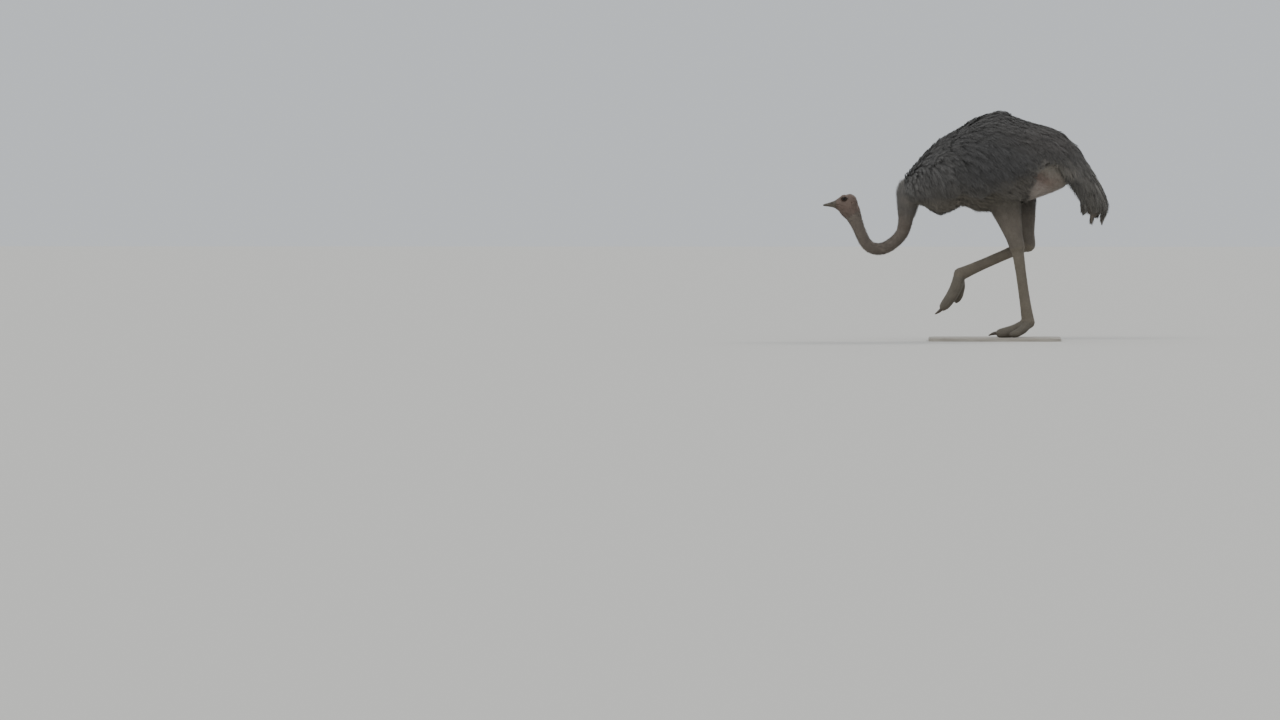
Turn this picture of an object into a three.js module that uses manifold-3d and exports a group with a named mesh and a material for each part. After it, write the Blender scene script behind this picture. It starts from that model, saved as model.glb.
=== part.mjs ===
// A standing ostrich hen, life size, walking with her head held low, on a plain display base.
// Millimetres. +X points to the tail, +Y to the bird's right, +Z up. The floor is z = 0.
import * as THREE from "three";
import { mergeVertices } from "three/addons/utils/BufferGeometryUtils.js";
import Module from "manifold-3d";

const wasm = await Module();
wasm.setup();

const ROOM = 0.35; // clear gap between pieces that meet
const stand = { length: 760, width: 500, height: 20, corner: 60, bevel: 4 };
const ground = stand.height + ROOM; // the level that the standing foot rests on

const { sin, cos, abs, sign, sqrt, max, min, PI } = Math;
const point = (x, y, z) => new THREE.Vector3(x, y, z);

// ---------------------------------------------------------------- shapes

// A smooth curve through [t, value] pairs that never overshoots them.
function through(pairs, t) {
  const last = pairs.length - 1;
  if (t <= pairs[0][0]) return pairs[0][1];
  if (t >= pairs[last][0]) return pairs[last][1];
  const slope = (i) => (pairs[i + 1][1] - pairs[i][1]) / (pairs[i + 1][0] - pairs[i][0]);
  const tangent = (i) => {
    if (i === 0) return slope(0);
    if (i === last) return slope(last - 1);
    const [before, after] = [slope(i - 1), slope(i)];
    return before * after <= 0 ? 0 : (2 * before * after) / (before + after);
  };
  const i = pairs.findIndex((p) => p[0] > t) - 1;
  const span = pairs[i + 1][0] - pairs[i][0];
  const s = (t - pairs[i][0]) / span;
  const rise = s * s * (3 - 2 * s);
  return (
    pairs[i][1] * (1 - rise) +
    pairs[i + 1][1] * rise +
    span * (tangent(i) * s * (1 - s) * (1 - s) - tangent(i + 1) * s * s * (1 - s))
  );
}

// Column k of a table of stations, as [station, value] pairs.
const column = (stations, k) => stations.map((row) => [row[0], row[k]]);

// The solid between rings of points, with its two ends closed.
function skinOver(rings) {
  const sides = rings[0].length;
  const points = rings.flat();
  const faces = [];
  for (let i = 0; i + 1 < rings.length; i++) {
    for (let j = 0; j < sides; j++) {
      const [a, b] = [i * sides + j, i * sides + ((j + 1) % sides)];
      faces.push(a, b, b + sides, a, b + sides, a + sides);
    }
  }
  for (const ring of [0, rings.length - 1]) {
    const centre = new THREE.Vector3();
    rings[ring].forEach((p) => centre.addScaledVector(p, 1 / sides));
    const hub = points.push(centre) - 1;
    for (let j = 0; j < sides; j++) {
      const [a, b] = [ring * sides + j, ring * sides + ((j + 1) % sides)];
      faces.push(...(ring === 0 ? [hub, b, a] : [hub, a, b]));
    }
  }
  return solid(points, faces);
}

// A manifold solid from points and triangles, turned to face out.
function solid(points, faces) {
  const volume = (order) => {
    let total = 0;
    for (let i = 0; i < order.length; i += 3) {
      const [a, b, c] = [0, 1, 2].map((k) => points[order[i + k]]);
      total += a.dot(b.clone().cross(c));
    }
    return total;
  };
  if (volume(faces) < 0) faces = faces.toReversed();
  const geometry = new THREE.BufferGeometry().setFromPoints(points);
  geometry.setIndex(faces);
  return fromGeometry(geometry);
}

// A manifold solid from a closed three.js geometry.
function fromGeometry(geometry) {
  geometry.deleteAttribute("normal");
  geometry.deleteAttribute("uv");
  const merged = mergeVertices(geometry, 1e-4);
  const index = merged.index.array;
  const kept = [];
  for (let i = 0; i < index.length; i += 3) {
    const [a, b, c] = index.slice(i, i + 3);
    if (a !== b && b !== c && c !== a) kept.push(a, b, c);
  }
  return new wasm.Manifold(
    new wasm.Mesh({
      numProp: 3,
      vertProperties: merged.attributes.position.array,
      triVerts: new Uint32Array(kept),
    }),
  );
}

// One oval ring: half-widths across, up and down, and a squareness of 2 for a plain ellipse.
function oval(centre, across, up, sizes, sides) {
  const { wide, high, low, square = 2 } = sizes;
  return Array.from({ length: sides }, (_, j) => {
    const a = (2 * PI * j) / sides;
    const bend = (v) => sign(v) * abs(v) ** (2 / square);
    const rise = sin(a) >= 0 ? high : low;
    return centre
      .clone()
      .addScaledVector(across, wide * bend(cos(a)))
      .addScaledVector(up, rise * bend(sin(a)));
  });
}

// A limb: an oval tube along a curve, from [t, half-width, half-depth in front, half-depth behind].
function limb(places, stations, { steps, sides, from = 0, to = 1, grow = 0, square = 2 }) {
  const curve = new THREE.CatmullRomCurve3(places, false, "centripetal");
  const rings = Array.from({ length: steps + 1 }, (_, i) => {
    const t = from + ((to - from) * i) / steps;
    const along = curve.getTangentAt(t);
    const up = point(0, 1, 0).cross(along).normalize();
    const across = along.clone().cross(up).normalize();
    const sizes = {
      wide: through(column(stations, 1), t) + grow,
      high: through(column(stations, 2), t) + grow,
      low: through(column(stations, 3), t) + grow,
      square,
    };
    return oval(curve.getPointAt(t), across, up, sizes, sides);
  });
  return skinOver(rings);
}

// A ball stretched to three half-sizes and tilted about Y.
function ball(centre, [rx, ry, rz], { tilt = 0, detail = 12, grow = 0 } = {}) {
  const shape = new THREE.SphereGeometry(1, detail, detail / 2);
  shape.scale(rx + grow, ry + grow, rz + grow);
  shape.rotateY(tilt);
  shape.translate(...centre);
  return fromGeometry(shape);
}

// The part of a solid on the far side of a plane through a point, kept back by half the gap.
function beyond(body, place, normal) {
  const n = point(...normal).normalize();
  return body.trimByPlane(n.toArray(), n.dot(point(...place)) + ROOM / 2);
}
const reverse = (v) => v.map((x) => -x);

// ---------------------------------------------------------------- trunk and wings

// Plumage outline by station along X: [x, top, bottom, half-width].
const trunkStations = [
  [-541, 890, 852, 22],
  [-528, 925, 826, 62],
  [-502, 966, 804, 96],
  [-470, 1003, 790, 126],
  [-440, 1038, 783, 146],
  [-407, 1076, 776, 164],
  [-370, 1112, 752, 180],
  [-320, 1159, 727, 196],
  [-260, 1195, 744, 208],
  [-211, 1219, 768, 214],
  [-182, 1238, 778, 217],
  [-150, 1264, 768, 219],
  [-118, 1281, 749, 221],
  [-80, 1296, 749, 222],
  [-20, 1312, 747, 222],
  [38, 1326, 742, 221],
  [68, 1309, 752, 219],
  [104, 1282, 764, 216],
  [165, 1265, 793, 209],
  [230, 1249, 816, 197],
  [326, 1221, 850, 170],
  [392, 1193, 878, 140],
  [430, 1144, 906, 102],
  [452, 1084, 952, 50],
];

// A point of the trunk's surface: x along it, and an angle down from the top on one side.
function trunkPoint(x, angle, side, grow) {
  const [top, bottom, half] = [1, 2, 3].map((k) => through(column(trunkStations, k), x));
  const middle = bottom + (top - bottom) * 0.47;
  const reach = cos(angle) > 0 ? top - middle : middle - bottom;
  const width = half * (1 - 0.12 * cos(angle));
  const square = 2 / 2.25;
  return point(
    x,
    side * (width + grow) * abs(sin(angle)) ** square * sign(sin(angle)),
    middle + (reach + grow) * abs(cos(angle)) ** square * sign(cos(angle)),
  );
}

function trunkSolid(grow = 0) {
  const sides = 24;
  const ends = [trunkStations[0][0], trunkStations.at(-1)[0]];
  const rings = trunkStations.map(([x]) =>
    Array.from({ length: sides }, (_, j) => trunkPoint(x, (2 * PI * j) / sides, 1, grow)),
  );
  rings[0].forEach((p) => (p.x = ends[0] - grow));
  rings.at(-1).forEach((p) => (p.x = ends[1] + grow));
  return skinOver(rings);
}

// A folded wing lies on the trunk from the shoulder to the rump. Its edges are angles down from the
// top of the back: [x, upper edge, lower edge, thickness], in mm and degrees.
const wingStations = [
  [-400, 62, 84, 4],
  [-350, 48, 108, 24],
  [-250, 38, 128, 38],
  [-120, 33, 134, 44],
  [20, 33, 126, 46],
  [150, 38, 112, 44],
  [270, 46, 104, 38],
  [350, 54, 100, 28],
  [400, 66, 94, 8],
];

function wingSolid(side) {
  const [steps, rows] = [15, 8];
  const buried = -14;
  const rings = Array.from({ length: steps + 1 }, (_, i) => {
    const x = wingStations[0][0] + ((wingStations.at(-1)[0] - wingStations[0][0]) * i) / steps;
    const [upper, lower, thick] = [1, 2, 3].map((k) => through(column(wingStations, k), x));
    const lobes = 5 * sin((x - 40) / 26) * (thick / 46); // hanging plume ends scallop the lower edge
    const place = (v) => ((upper + (lower + lobes - upper) * v) * PI) / 180;
    const outer = [];
    const inner = [];
    for (let j = 0; j <= rows; j++) {
      const v = j / rows;
      const rise = thick * sqrt(max(0, sin(PI * v ** 1.25))) * (0.85 + 0.15 * v);
      outer.push(trunkPoint(x, place(v), side, max(rise, 1)));
      inner.unshift(trunkPoint(x, place(v), side, buried));
    }
    return [...outer, ...inner];
  });
  return skinOver(rings);
}

// ---------------------------------------------------------------- tail

const tailPlaces = [
  point(300, 0, 1112),
  point(367, 0, 1090),
  point(434, 0, 1015),
  point(482, 0, 950),
  point(521, 0, 892),
  point(568, 0, 795),
  point(583, 0, 739),
  point(583, 0, 700),
];
// [t, half-width, half-depth in front, half-depth behind]
const tailStations = [
  [0, 70, 70, 70],
  [0.15, 96, 92, 96],
  [0.36, 120, 92, 85],
  [0.52, 130, 90, 77],
  [0.66, 134, 84, 79],
  [0.86, 124, 70, 78],
  [0.94, 104, 58, 70],
  [1, 62, 40, 46],
];

// A pointed plume end: a flattened tapering lock from a root to a tip.
function plumeEnd(root, tip, wide, thick) {
  const middle = root.clone().lerp(tip, 0.5);
  return limb(
    [root, middle, tip],
    [
      [0, wide * 0.75, thick, thick],
      [0.45, wide, thick * 0.85, thick * 0.85],
      [0.8, wide * 0.7, thick * 0.6, thick * 0.6],
      [1, wide * 0.15, thick * 0.2, thick * 0.2],
    ],
    { steps: 3, sides: 5 },
  );
}

function tailSolid() {
  let body = limb(tailPlaces, tailStations, { steps: 9, sides: 16, square: 2.2 });
  // [y, root x, root z, tip x, tip z] of the plumes that end the tail
  const ends = [
    [-90, 522, 800, 498, 714],
    [-30, 528, 790, 510, 702],
    [36, 522, 790, 502, 706],
    [94, 526, 800, 504, 716],
    [-62, 568, 760, 556, 668],
    [8, 572, 750, 566, 660],
    [66, 570, 760, 552, 672],
    [-40, 614, 770, 612, 668],
    [44, 616, 770, 618, 676],
  ];
  for (const [y, x0, z0, x1, z1] of ends) {
    body = body.add(plumeEnd(point(x0, y * 0.8, z0 + 40), point(x1, y, z1), 38, 26));
  }
  return body.subtract(trunkSolid(ROOM));
}

// ---------------------------------------------------------------- neck

const neckPlaces = [
  point(-458, 0, 915),
  point(-488, 0, 862),
  point(-500, 0, 800),
  point(-507, 0, 738),
  point(-517, 0, 672),
  point(-530, 0, 623),
  point(-562, 0, 581),
  point(-617, 0, 540),
  point(-667, 0, 526),
  point(-712, 0, 536),
  point(-744, 0, 564),
  point(-761, 0, 596),
  point(-785, 0, 653),
  point(-799, 0, 688),
  point(-816, 0, 728),
  point(-836, 0, 758),
  point(-850, 0, 776),
  point(-860, 0, 796),
];
// [t, half-width, half-depth at the nape, half-depth at the throat]
const neckStations = [
  [0, 84, 56, 60],
  [0.08, 76, 70, 66],
  [0.155, 60, 59, 61],
  [0.23, 47, 51, 52],
  [0.27, 41, 43, 44],
  [0.31, 37, 40, 41],
  [0.37, 34, 37, 37],
  [0.44, 33, 36, 35],
  [0.52, 33, 36, 35],
  [0.64, 33, 35, 34],
  [0.73, 33, 35, 33],
  [0.81, 33, 36, 35],
  [0.855, 33, 41, 41],
  [0.905, 36, 49, 50],
  [0.95, 38, 57, 57],
  [1, 36, 49, 50],
];
const neckCuts = [0, 0.2, 0.41, 0.7, 0.9];
const neckOptions = { sides: 16 };

function neckLength(k) {
  const curve = new THREE.CatmullRomCurve3(neckPlaces, false, "centripetal");
  const gap = ROOM / 2 / curve.getLength();
  return limb(neckPlaces, neckStations, {
    ...neckOptions,
    steps: k === 2 ? 10 : 6,
    from: neckCuts[k] + (k ? gap : 0),
    to: neckCuts[k + 1] - gap,
  });
}

// ---------------------------------------------------------------- head and bill

// The head is shaped round the eyes: forward distances and heights are measured from their centres.
const eye = { x: -865, z: 813.5, apart: 41.5, radius: 25, depth: 20 }; // each 50 mm across, 40 mm deep
// [forward, top, bottom, half-width]
const headStations = [
  [-77, -18, -40, 10],
  [-71, 3, -58, 23],
  [-57, 22, -78, 32],
  [-34, 31, -90, 37],
  [-10, 27, -90, 38],
  [12, 21, -82, 36.5],
  [30, 9, -68, 33],
  [46, -3, -56, 29],
];
// [forward, top, bottom, half-width] of the closed horny bill; the gape parts it in two
const billStations = [
  [46, -3, -56, 29],
  [62, -12, -49, 25],
  [80, -18, -45, 21],
  [98, -24, -42.5, 17.5],
  [110, -28, -41, 13.5],
  [118, -31, -39, 9],
  [122, -33.5, -37, 4],
];
const billTip = 122;
const gape = (forward) => -35.2 + 0.06 * (billTip - forward);

// A closed form across planes of constant X, from a table of stations.
function acrossX(stations, { steps, sides, square, grow = 0, pinch = 0, spread = 1 }) {
  const [first, last] = [stations[0][0], stations.at(-1)[0]];
  const rings = Array.from({ length: steps + 1 }, (_, i) => {
    const even = i / steps;
    const forward = first + (last - first) * (spread * even + (1 - spread) * sin((PI / 2) * even));
    const [top, bottom, half] = [1, 2, 3].map((k) => through(column(stations, k), forward));
    const middle = (top + bottom) / 2;
    const ring = oval(
      point(eye.x - forward, 0, eye.z + middle),
      point(0, 1, 0),
      point(0, 0, 1),
      { wide: half + grow, high: top - middle + grow, low: middle - bottom + grow, square },
      sides,
    );
    // The jaw is narrower than the brow.
    ring.forEach((p) => {
      const down = (eye.z + middle - p.z) / (top - middle + grow);
      p.y *= 1 - pinch * max(0, down);
    });
    return ring;
  });
  return skinOver(rings);
}

function headSolid(eyes) {
  const skull = acrossX(headStations, { steps: 10, sides: 18, square: 2.25, pinch: 0.2 });
  const curve = new THREE.CatmullRomCurve3(neckPlaces, false, "centripetal");
  const cut = neckCuts.at(-1) + ROOM / 2 / curve.getLength();
  const throat = limb(neckPlaces, neckStations, { ...neckOptions, steps: 3, from: cut, to: 1 });
  const [place, along] = [curve.getPointAt(cut), curve.getTangentAt(cut)];
  let head = skull.trimByPlane(along.toArray(), along.dot(place)).add(throat);
  for (const side of [-1, 1]) {
    const orbit = [eye.x, side * (eye.apart / 2 + 24), eye.z];
    head = head.subtract(ball(orbit, [20, 14, 16], { tilt: 0.12 }));
  }
  return eyes.reduce((body, e) => body.subtract(e), head);
}

function billHalf(above) {
  const whole = acrossX(billStations, { steps: 8, sides: 16, square: 2.3, spread: 0.35 });
  const place = [eye.x - billTip, 0, eye.z + gape(billTip)];
  const normal = above ? [-0.06, 0, 1] : [0.06, 0, -1];
  return beyond(whole.translate([-ROOM, 0, 0]), place, normal);
}

// ---------------------------------------------------------------- legs

// Joint centres of the two legs, and how each one's toes are carried.
const legs = {
  left: {
    side: -1,
    knee: [-8, -118, 1010],
    hock: [127, -92, 540],
    foot: [191, -66, 108],
  },
  right: {
    side: 1,
    knee: [106, 118, 1010],
    hock: [190, 96, 553],
    foot: [-198, 74, 381],
  },
};
// [t, half-width, half-depth in front, half-depth behind]
const upperStations = [
  [0, 66, 112, 116],
  [0.2, 68, 118, 120],
  [0.42, 62, 97, 103],
  [0.6, 51, 75, 84],
  [0.74, 43, 60, 68],
  [0.89, 37, 47, 50],
  [1, 35, 43, 45],
];
const lowerStations = [
  [0, 33, 36, 36],
  [0.1, 30, 33, 35],
  [0.3, 25, 29, 31],
  [0.6, 24, 30, 30],
  [0.85, 28, 33, 33],
  [1, 34, 37, 38],
];
const hockKnob = [45, 36, 45];
const footKnob = [41, 37, 40];

// The plane that parts the upper leg from the lower halves the angle at the hock.
function hockPlane({ knee, hock, foot }) {
  const up = point(...knee).sub(point(...hock)).normalize();
  const down = point(...foot).sub(point(...hock)).normalize();
  return { place: hock, normal: up.sub(down).normalize().toArray() };
}

function upperLeg(leg) {
  const { knee, hock } = leg;
  const straight = [knee, hock].map((p) => point(...p));
  const calf = straight[0].clone().lerp(straight[1], 0.5).add(point(-4, 0, 0));
  let body = limb([straight[0], calf, straight[1]], upperStations, { steps: 8, sides: 14 });
  body = body.add(ball(hock, hockKnob));
  const { place, normal } = hockPlane(leg);
  return beyond(body, place, normal).subtract(trunkSolid(ROOM));
}

function lowerLeg(leg) {
  const { hock, foot } = leg;
  const ends = [hock, foot].map((p) => point(...p));
  const middle = ends[0].clone().lerp(ends[1], 0.5);
  let body = limb([ends[0], middle, ends[1]], lowerStations, { steps: 6, sides: 12 });
  body = body.add(ball(hock, hockKnob)).add(ball(foot, footKnob, { detail: 10 }));
  const { place, normal } = hockPlane(leg);
  return beyond(body, place, reverse(normal));
}

// Toes: [along X, outward, height] places from the foot joint, and
// [t, half-width, half-depth on top, half-depth of the sole] stations.
const toes = {
  large: {
    standing: [
      [-4, 0, -8],
      [-44, -6, -34],
      [-92, -10, -54],
      [-146, -12, -64],
      [-186, -12, -67],
    ],
    hanging: [
      [-6, 0, -20],
      [-27, -6, -86],
      [-56, -10, -138],
      [-90, -12, -180],
      [-112, -12, -204],
    ],
    stations: [
      [0, 35, 36, 33],
      [0.3, 36, 36, 33],
      [0.6, 37, 34, 30],
      [0.85, 32, 28, 27],
      [1, 21, 18, 19],
    ],
  },
  small: {
    standing: [
      [-2, 14, -10],
      [-30, 42, -40],
      [-62, 66, -62],
      [-92, 84, -69],
      [-110, 92, -71],
    ],
    hanging: [
      [-2, 14, -20],
      [2, 32, -70],
      [-4, 44, -116],
      [-18, 52, -150],
      [-30, 56, -168],
    ],
    stations: [
      [0, 25, 27, 26],
      [0.35, 26, 24, 25],
      [0.7, 24, 21, 21],
      [1, 12, 11, 12],
    ],
  },
};
const claw = { length: 62, wide: 15, high: 13 };

function toePlaces(leg, toe, pose) {
  const [x, y, z] = leg.foot;
  return toe[pose].map(([dx, out, dz]) => point(x + dx, y + leg.side * out, z + dz));
}

// Soles of a standing foot are flat, at the level that it stands on.
const flatSole = (body, pose) => (pose === "standing" ? body.trimByPlane([0, 0, 1], ground) : body);

function toeSolid(leg, kind, pose, grow = 0) {
  const toe = toes[kind];
  const places = toePlaces(leg, toe, pose);
  const body = limb(places, toe.stations, { steps: 6, sides: 12, grow, square: 2.3 });
  return flatSole(body, pose);
}

// The claw caps the end of the large toe and runs on in its line, curving down.
function clawSolid(leg, pose, grow = 0) {
  const places = toePlaces(leg, toes.large, pose);
  const tip = places.at(-1);
  const along = tip.clone().sub(places.at(-2)).normalize();
  const lift = pose === "standing" ? 3 : 0;
  const start = tip.clone().addScaledVector(along, -24).add(point(0, 0, lift));
  const bend = along.clone().applyAxisAngle(point(0, 1, 0), pose === "standing" ? -0.3 : 0.25);
  const middle = start.clone().addScaledVector(along, claw.length * 0.55);
  const end = middle.clone().addScaledVector(bend, claw.length * 0.55);
  const sizes = [
    [0, claw.wide, claw.high, claw.high],
    [0.5, claw.wide * 0.85, claw.high * 0.8, claw.high * 0.75],
    [1, claw.wide * 0.3, claw.high * 0.25, claw.high * 0.25],
  ];
  return flatSole(limb([start, middle, end], sizes, { steps: 5, sides: 10, grow }), pose);
}

// ---------------------------------------------------------------- stand

function standSolid() {
  const { length, width, height, corner, bevel } = stand;
  const [x, y, r] = [length / 2 - bevel, width / 2 - bevel, corner];
  const outline = new THREE.Shape();
  outline.moveTo(-x + r, -y).lineTo(x - r, -y).absarc(x - r, -y + r, r, -PI / 2, 0);
  outline.lineTo(x, y - r).absarc(x - r, y - r, r, 0, PI / 2);
  outline.lineTo(-x + r, y).absarc(-x + r, y - r, r, PI / 2, PI);
  outline.lineTo(-x, -y + r).absarc(-x + r, -y + r, r, PI, 1.5 * PI);
  const plate = new THREE.ExtrudeGeometry(outline, {
    depth: height - bevel,
    bevelThickness: bevel,
    bevelSize: bevel,
    bevelSegments: 1,
    curveSegments: 4,
  });
  // The lower bevel is cut away, so that the plate stands on its full face.
  return fromGeometry(plate).trimByPlane([0, 0, 1], 0);
}

// ---------------------------------------------------------------- the bird

const looks = {
  plumage: { color: 0x4b4540, roughness: 0.95 },
  wingPlumes: { color: 0x443f3b, roughness: 0.95 },
  tailPlumes: { color: 0x4a443e, roughness: 0.95 },
  neckSkin: { color: 0x75665a, roughness: 0.85 },
  headSkin: { color: 0x7a6658, roughness: 0.8 },
  legSkin: { color: 0x7d7062, roughness: 0.7 },
  horn: { color: 0x5a4c3c, roughness: 0.45 },
  eyes: { color: 0x1c120c, roughness: 0.08 },
  board: { color: 0x8f8a80, roughness: 0.6 },
};

const ostrich = new THREE.Group();

function place(name, body, look) {
  const mesh = body.getMesh();
  const geometry = new THREE.BufferGeometry();
  geometry.setAttribute("position", new THREE.BufferAttribute(mesh.vertProperties, 3));
  geometry.setIndex(new THREE.BufferAttribute(mesh.triVerts, 1));
  geometry.computeVertexNormals();
  const material = new THREE.MeshStandardMaterial({ metalness: 0, ...looks[look] });
  const part = new THREE.Mesh(geometry, material);
  part.name = name;
  ostrich.add(part);
}

const grownTrunk = trunkSolid(ROOM);
place("trunk", trunkSolid(), "plumage");
place("wing_left", wingSolid(-1).subtract(grownTrunk), "wingPlumes");
place("wing_right", wingSolid(1).subtract(grownTrunk), "wingPlumes");
place("tail", tailSolid(), "tailPlumes");

["neck_base", "neck_lower", "neck_bend", "neck_upper"].forEach((name, k) => {
  const part = neckLength(k);
  place(name, k === 0 ? part.subtract(grownTrunk) : part, "neckSkin");
});

const eyeBall = (side, grow = 0) =>
  ball([eye.x, (side * eye.apart) / 2, eye.z], [eye.radius, eye.depth, eye.radius], { grow });
place("head", headSolid([eyeBall(-1, ROOM), eyeBall(1, ROOM)]), "headSkin");
place("bill_upper", billHalf(true), "horn");
place("bill_lower", billHalf(false), "horn");
place("eye_left", eyeBall(-1), "eyes");
place("eye_right", eyeBall(1), "eyes");

for (const [name, pose] of [["left", "standing"], ["right", "hanging"]]) {
  const leg = legs[name];
  const grownLower = limb(
    [leg.hock, leg.foot].map((p) => point(...p)),
    lowerStations,
    { steps: 6, sides: 12, grow: ROOM },
  ).add(ball(leg.foot, footKnob, { detail: 10, grow: ROOM }));
  const large = toeSolid(leg, "large", pose).subtract(grownLower);
  const small = toeSolid(leg, "small", pose).subtract(grownLower);
  place(`leg_upper_${name}`, upperLeg(leg), "legSkin");
  place(`leg_lower_${name}`, lowerLeg(leg), "legSkin");
  place(`toe_large_${name}`, large.subtract(clawSolid(leg, pose, ROOM)), "legSkin");
  place(`toe_small_${name}`, small.subtract(toeSolid(leg, "large", pose, ROOM)), "legSkin");
  place(`claw_${name}`, clawSolid(leg, pose), "horn");
}

place("stand_base", standSolid(), "board");

export default ostrich;
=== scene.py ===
import itertools
import math

import bmesh
import bpy
import numpy as np
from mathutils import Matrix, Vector
from mathutils.bvhtree import BVHTree


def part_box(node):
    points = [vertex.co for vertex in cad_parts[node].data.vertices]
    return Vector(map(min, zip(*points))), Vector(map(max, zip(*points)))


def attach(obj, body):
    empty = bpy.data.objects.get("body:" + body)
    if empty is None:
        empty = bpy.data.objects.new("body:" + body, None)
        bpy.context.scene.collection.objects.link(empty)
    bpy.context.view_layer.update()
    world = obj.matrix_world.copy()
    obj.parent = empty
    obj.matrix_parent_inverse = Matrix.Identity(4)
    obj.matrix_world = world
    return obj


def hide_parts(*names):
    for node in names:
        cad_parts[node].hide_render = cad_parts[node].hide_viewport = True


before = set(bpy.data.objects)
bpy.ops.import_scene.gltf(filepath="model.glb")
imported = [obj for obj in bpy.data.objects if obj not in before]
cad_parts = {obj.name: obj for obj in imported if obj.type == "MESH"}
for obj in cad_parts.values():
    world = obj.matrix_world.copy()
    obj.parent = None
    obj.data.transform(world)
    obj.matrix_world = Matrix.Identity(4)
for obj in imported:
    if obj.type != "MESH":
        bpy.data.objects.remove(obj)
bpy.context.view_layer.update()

bodyNodes = ["trunk", "wing_left", "wing_right"]
neckNodes = ["neck_base", "neck_lower", "neck_bend", "neck_upper"]
legNodes = [
    part + side
    for side in ("_left", "_right")
    for part in ("leg_upper", "leg_lower", "toe_large", "toe_small")
]
thighNodes = [node for node in legNodes if "upper" in node]
shinNodes = [node for node in legNodes if "lower" in node]
toeNodes = [node for node in legNodes if "toe" in node]
fleshNodes = bodyNodes + ["tail"] + neckNodes + ["head"] + legNodes


def pull(items, field, width, kind=np.int32):
    # one field of a mesh's points, edges, corners or triangles as an array
    values = np.empty(len(items) * width, kind)
    items.foreach_get(field, values)
    return values.reshape(-1, width)


def coordsOf(mesh):
    return pull(mesh.vertices, "co", 3, np.float64)


def normalsOf(mesh):
    return pull(mesh.vertex_normals, "vector", 3, np.float32).astype(float)


def edgesOf(mesh):
    return pull(mesh.edges, "vertices", 2)


def trisOf(mesh):
    mesh.calc_loop_triangles()
    return pull(mesh.loop_triangles, "vertices", 3)


def putCoords(mesh, co):
    mesh.vertices.foreach_set("co", co.astype(np.float32).ravel())
    mesh.update()


def unit(v):
    return v / np.maximum(np.linalg.norm(v, axis=-1, keepdims=True), 1e-12)


def facing(co, tris):
    # along each triangle's normal, as long as twice its area
    return np.cross(co[tris[:, 1]] - co[tris[:, 0]], co[tris[:, 2]] - co[tris[:, 0]])


def ease(low, high, x):  # 0 below low, 1 above high, smooth between
    t = np.clip((x - low) / (high - low), 0, 1)
    return t * t * (3 - 2 * t)


def hump(x, centre, width):
    return np.exp(-(((x - centre) / width) ** 2))


def toward(colour, other, share):
    # moves each colour by its share towards the other one
    share = np.reshape(share, (-1, 1))
    return np.array(colour) * (1 - share) + np.array(other) * share


def fillMesh(name, co, faces):
    # faces is an array of triangles or of quads
    sides = faces.shape[1]
    mesh = bpy.data.meshes.new(name)
    mesh.vertices.add(len(co))
    mesh.vertices.foreach_set("co", np.asarray(co, np.float32).ravel())
    mesh.loops.add(faces.size)
    mesh.loops.foreach_set("vertex_index", faces.astype(np.int32).ravel())
    mesh.polygons.add(len(faces))
    mesh.polygons.foreach_set("loop_start", np.arange(0, faces.size, sides, dtype=np.int32))
    mesh.update(calc_edges=True)
    return mesh


def gridQuads(rows, across, closed=False):
    # the faces between rows of points; closed rows run all the way round
    a = np.arange(rows * across).reshape(rows, across)
    b = np.roll(a, -1, axis=1) if closed else a[:, 1:]
    a = a if closed else a[:, :-1]
    return np.stack([a[:-1], b[:-1], b[1:], a[1:]], -1).reshape(-1, 4)


def joined(solids):
    # the points and faces of several solids as one
    starts = np.cumsum([0] + [len(points) for points, _ in solids])
    faces = [own + start for (_, own), start in zip(solids, starts)]
    return np.concatenate([points for points, _ in solids]), np.concatenate(faces)


def addPiece(name, mesh, material, replaced=()):
    piece = bpy.data.objects.new(name, mesh)
    bpy.context.scene.collection.objects.link(piece)
    mesh.materials.clear()
    mesh.materials.append(material)
    mesh.polygons.foreach_set("use_smooth", np.ones(len(mesh.polygons), bool))
    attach(piece, "root")
    if replaced:
        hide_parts(*replaced)
    return piece


def paintPoints(mesh, **layers):
    # named values or colours for the mesh's points; a single one fills the whole mesh
    for name, values in layers.items():
        values = np.asarray(values, np.float32)
        if values.shape in ((), (3,)):
            values = np.tile(values, (len(mesh.vertices),) + (1,) * values.ndim)
        if values.ndim == 1:
            mesh.attributes.new(name, "FLOAT", "POINT").data.foreach_set("value", values)
        else:
            rgba = np.ones((len(values), 4), np.float32)
            rgba[:, :3] = values
            mesh.attributes.new(name, "FLOAT_COLOR", "POINT").data.foreach_set("color", rgba.ravel())


def boxOf(node):
    return (np.array(corner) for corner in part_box(node))


def inBox(co, node, reach):
    # whether each point lies in the node's box, widened by reach
    low, high = boxOf(node)
    return ((co > low - reach) & (co < high + reach)).all(1)


def nearNodes(mesh, nodes, reach):
    co = coordsOf(mesh)
    return np.any([inBox(co, node, reach) for node in nodes], axis=0)


def cadSolid(node, grow=0.0):
    # a CAD node's welded points and triangles, its surface moved out by grow
    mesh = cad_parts[node].data
    co, tris = coordsOf(mesh), trisOf(mesh)
    _, first, same = np.unique(np.round(co, 6), axis=0, return_index=True, return_inverse=True)
    co, tris = co[first], same.ravel()[tris]
    tris = tris[(tris != np.roll(tris, 1, axis=1)).all(1)]
    if grow:
        across, normals = facing(co, tris), np.zeros_like(co)
        for corner in range(3):
            np.add.at(normals, tris[:, corner], across)
        co = co + unit(normals) * grow
    return co, tris


def farFrom(nodes, points):
    # distance of each point from the surfaces of CAD nodes
    co, tris = joined([cadSolid(node) for node in nodes])
    tree = BVHTree.FromPolygons(co.tolist(), tris.tolist())
    return np.array([tree.find_nearest(point)[3] for point in points.tolist()])


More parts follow.
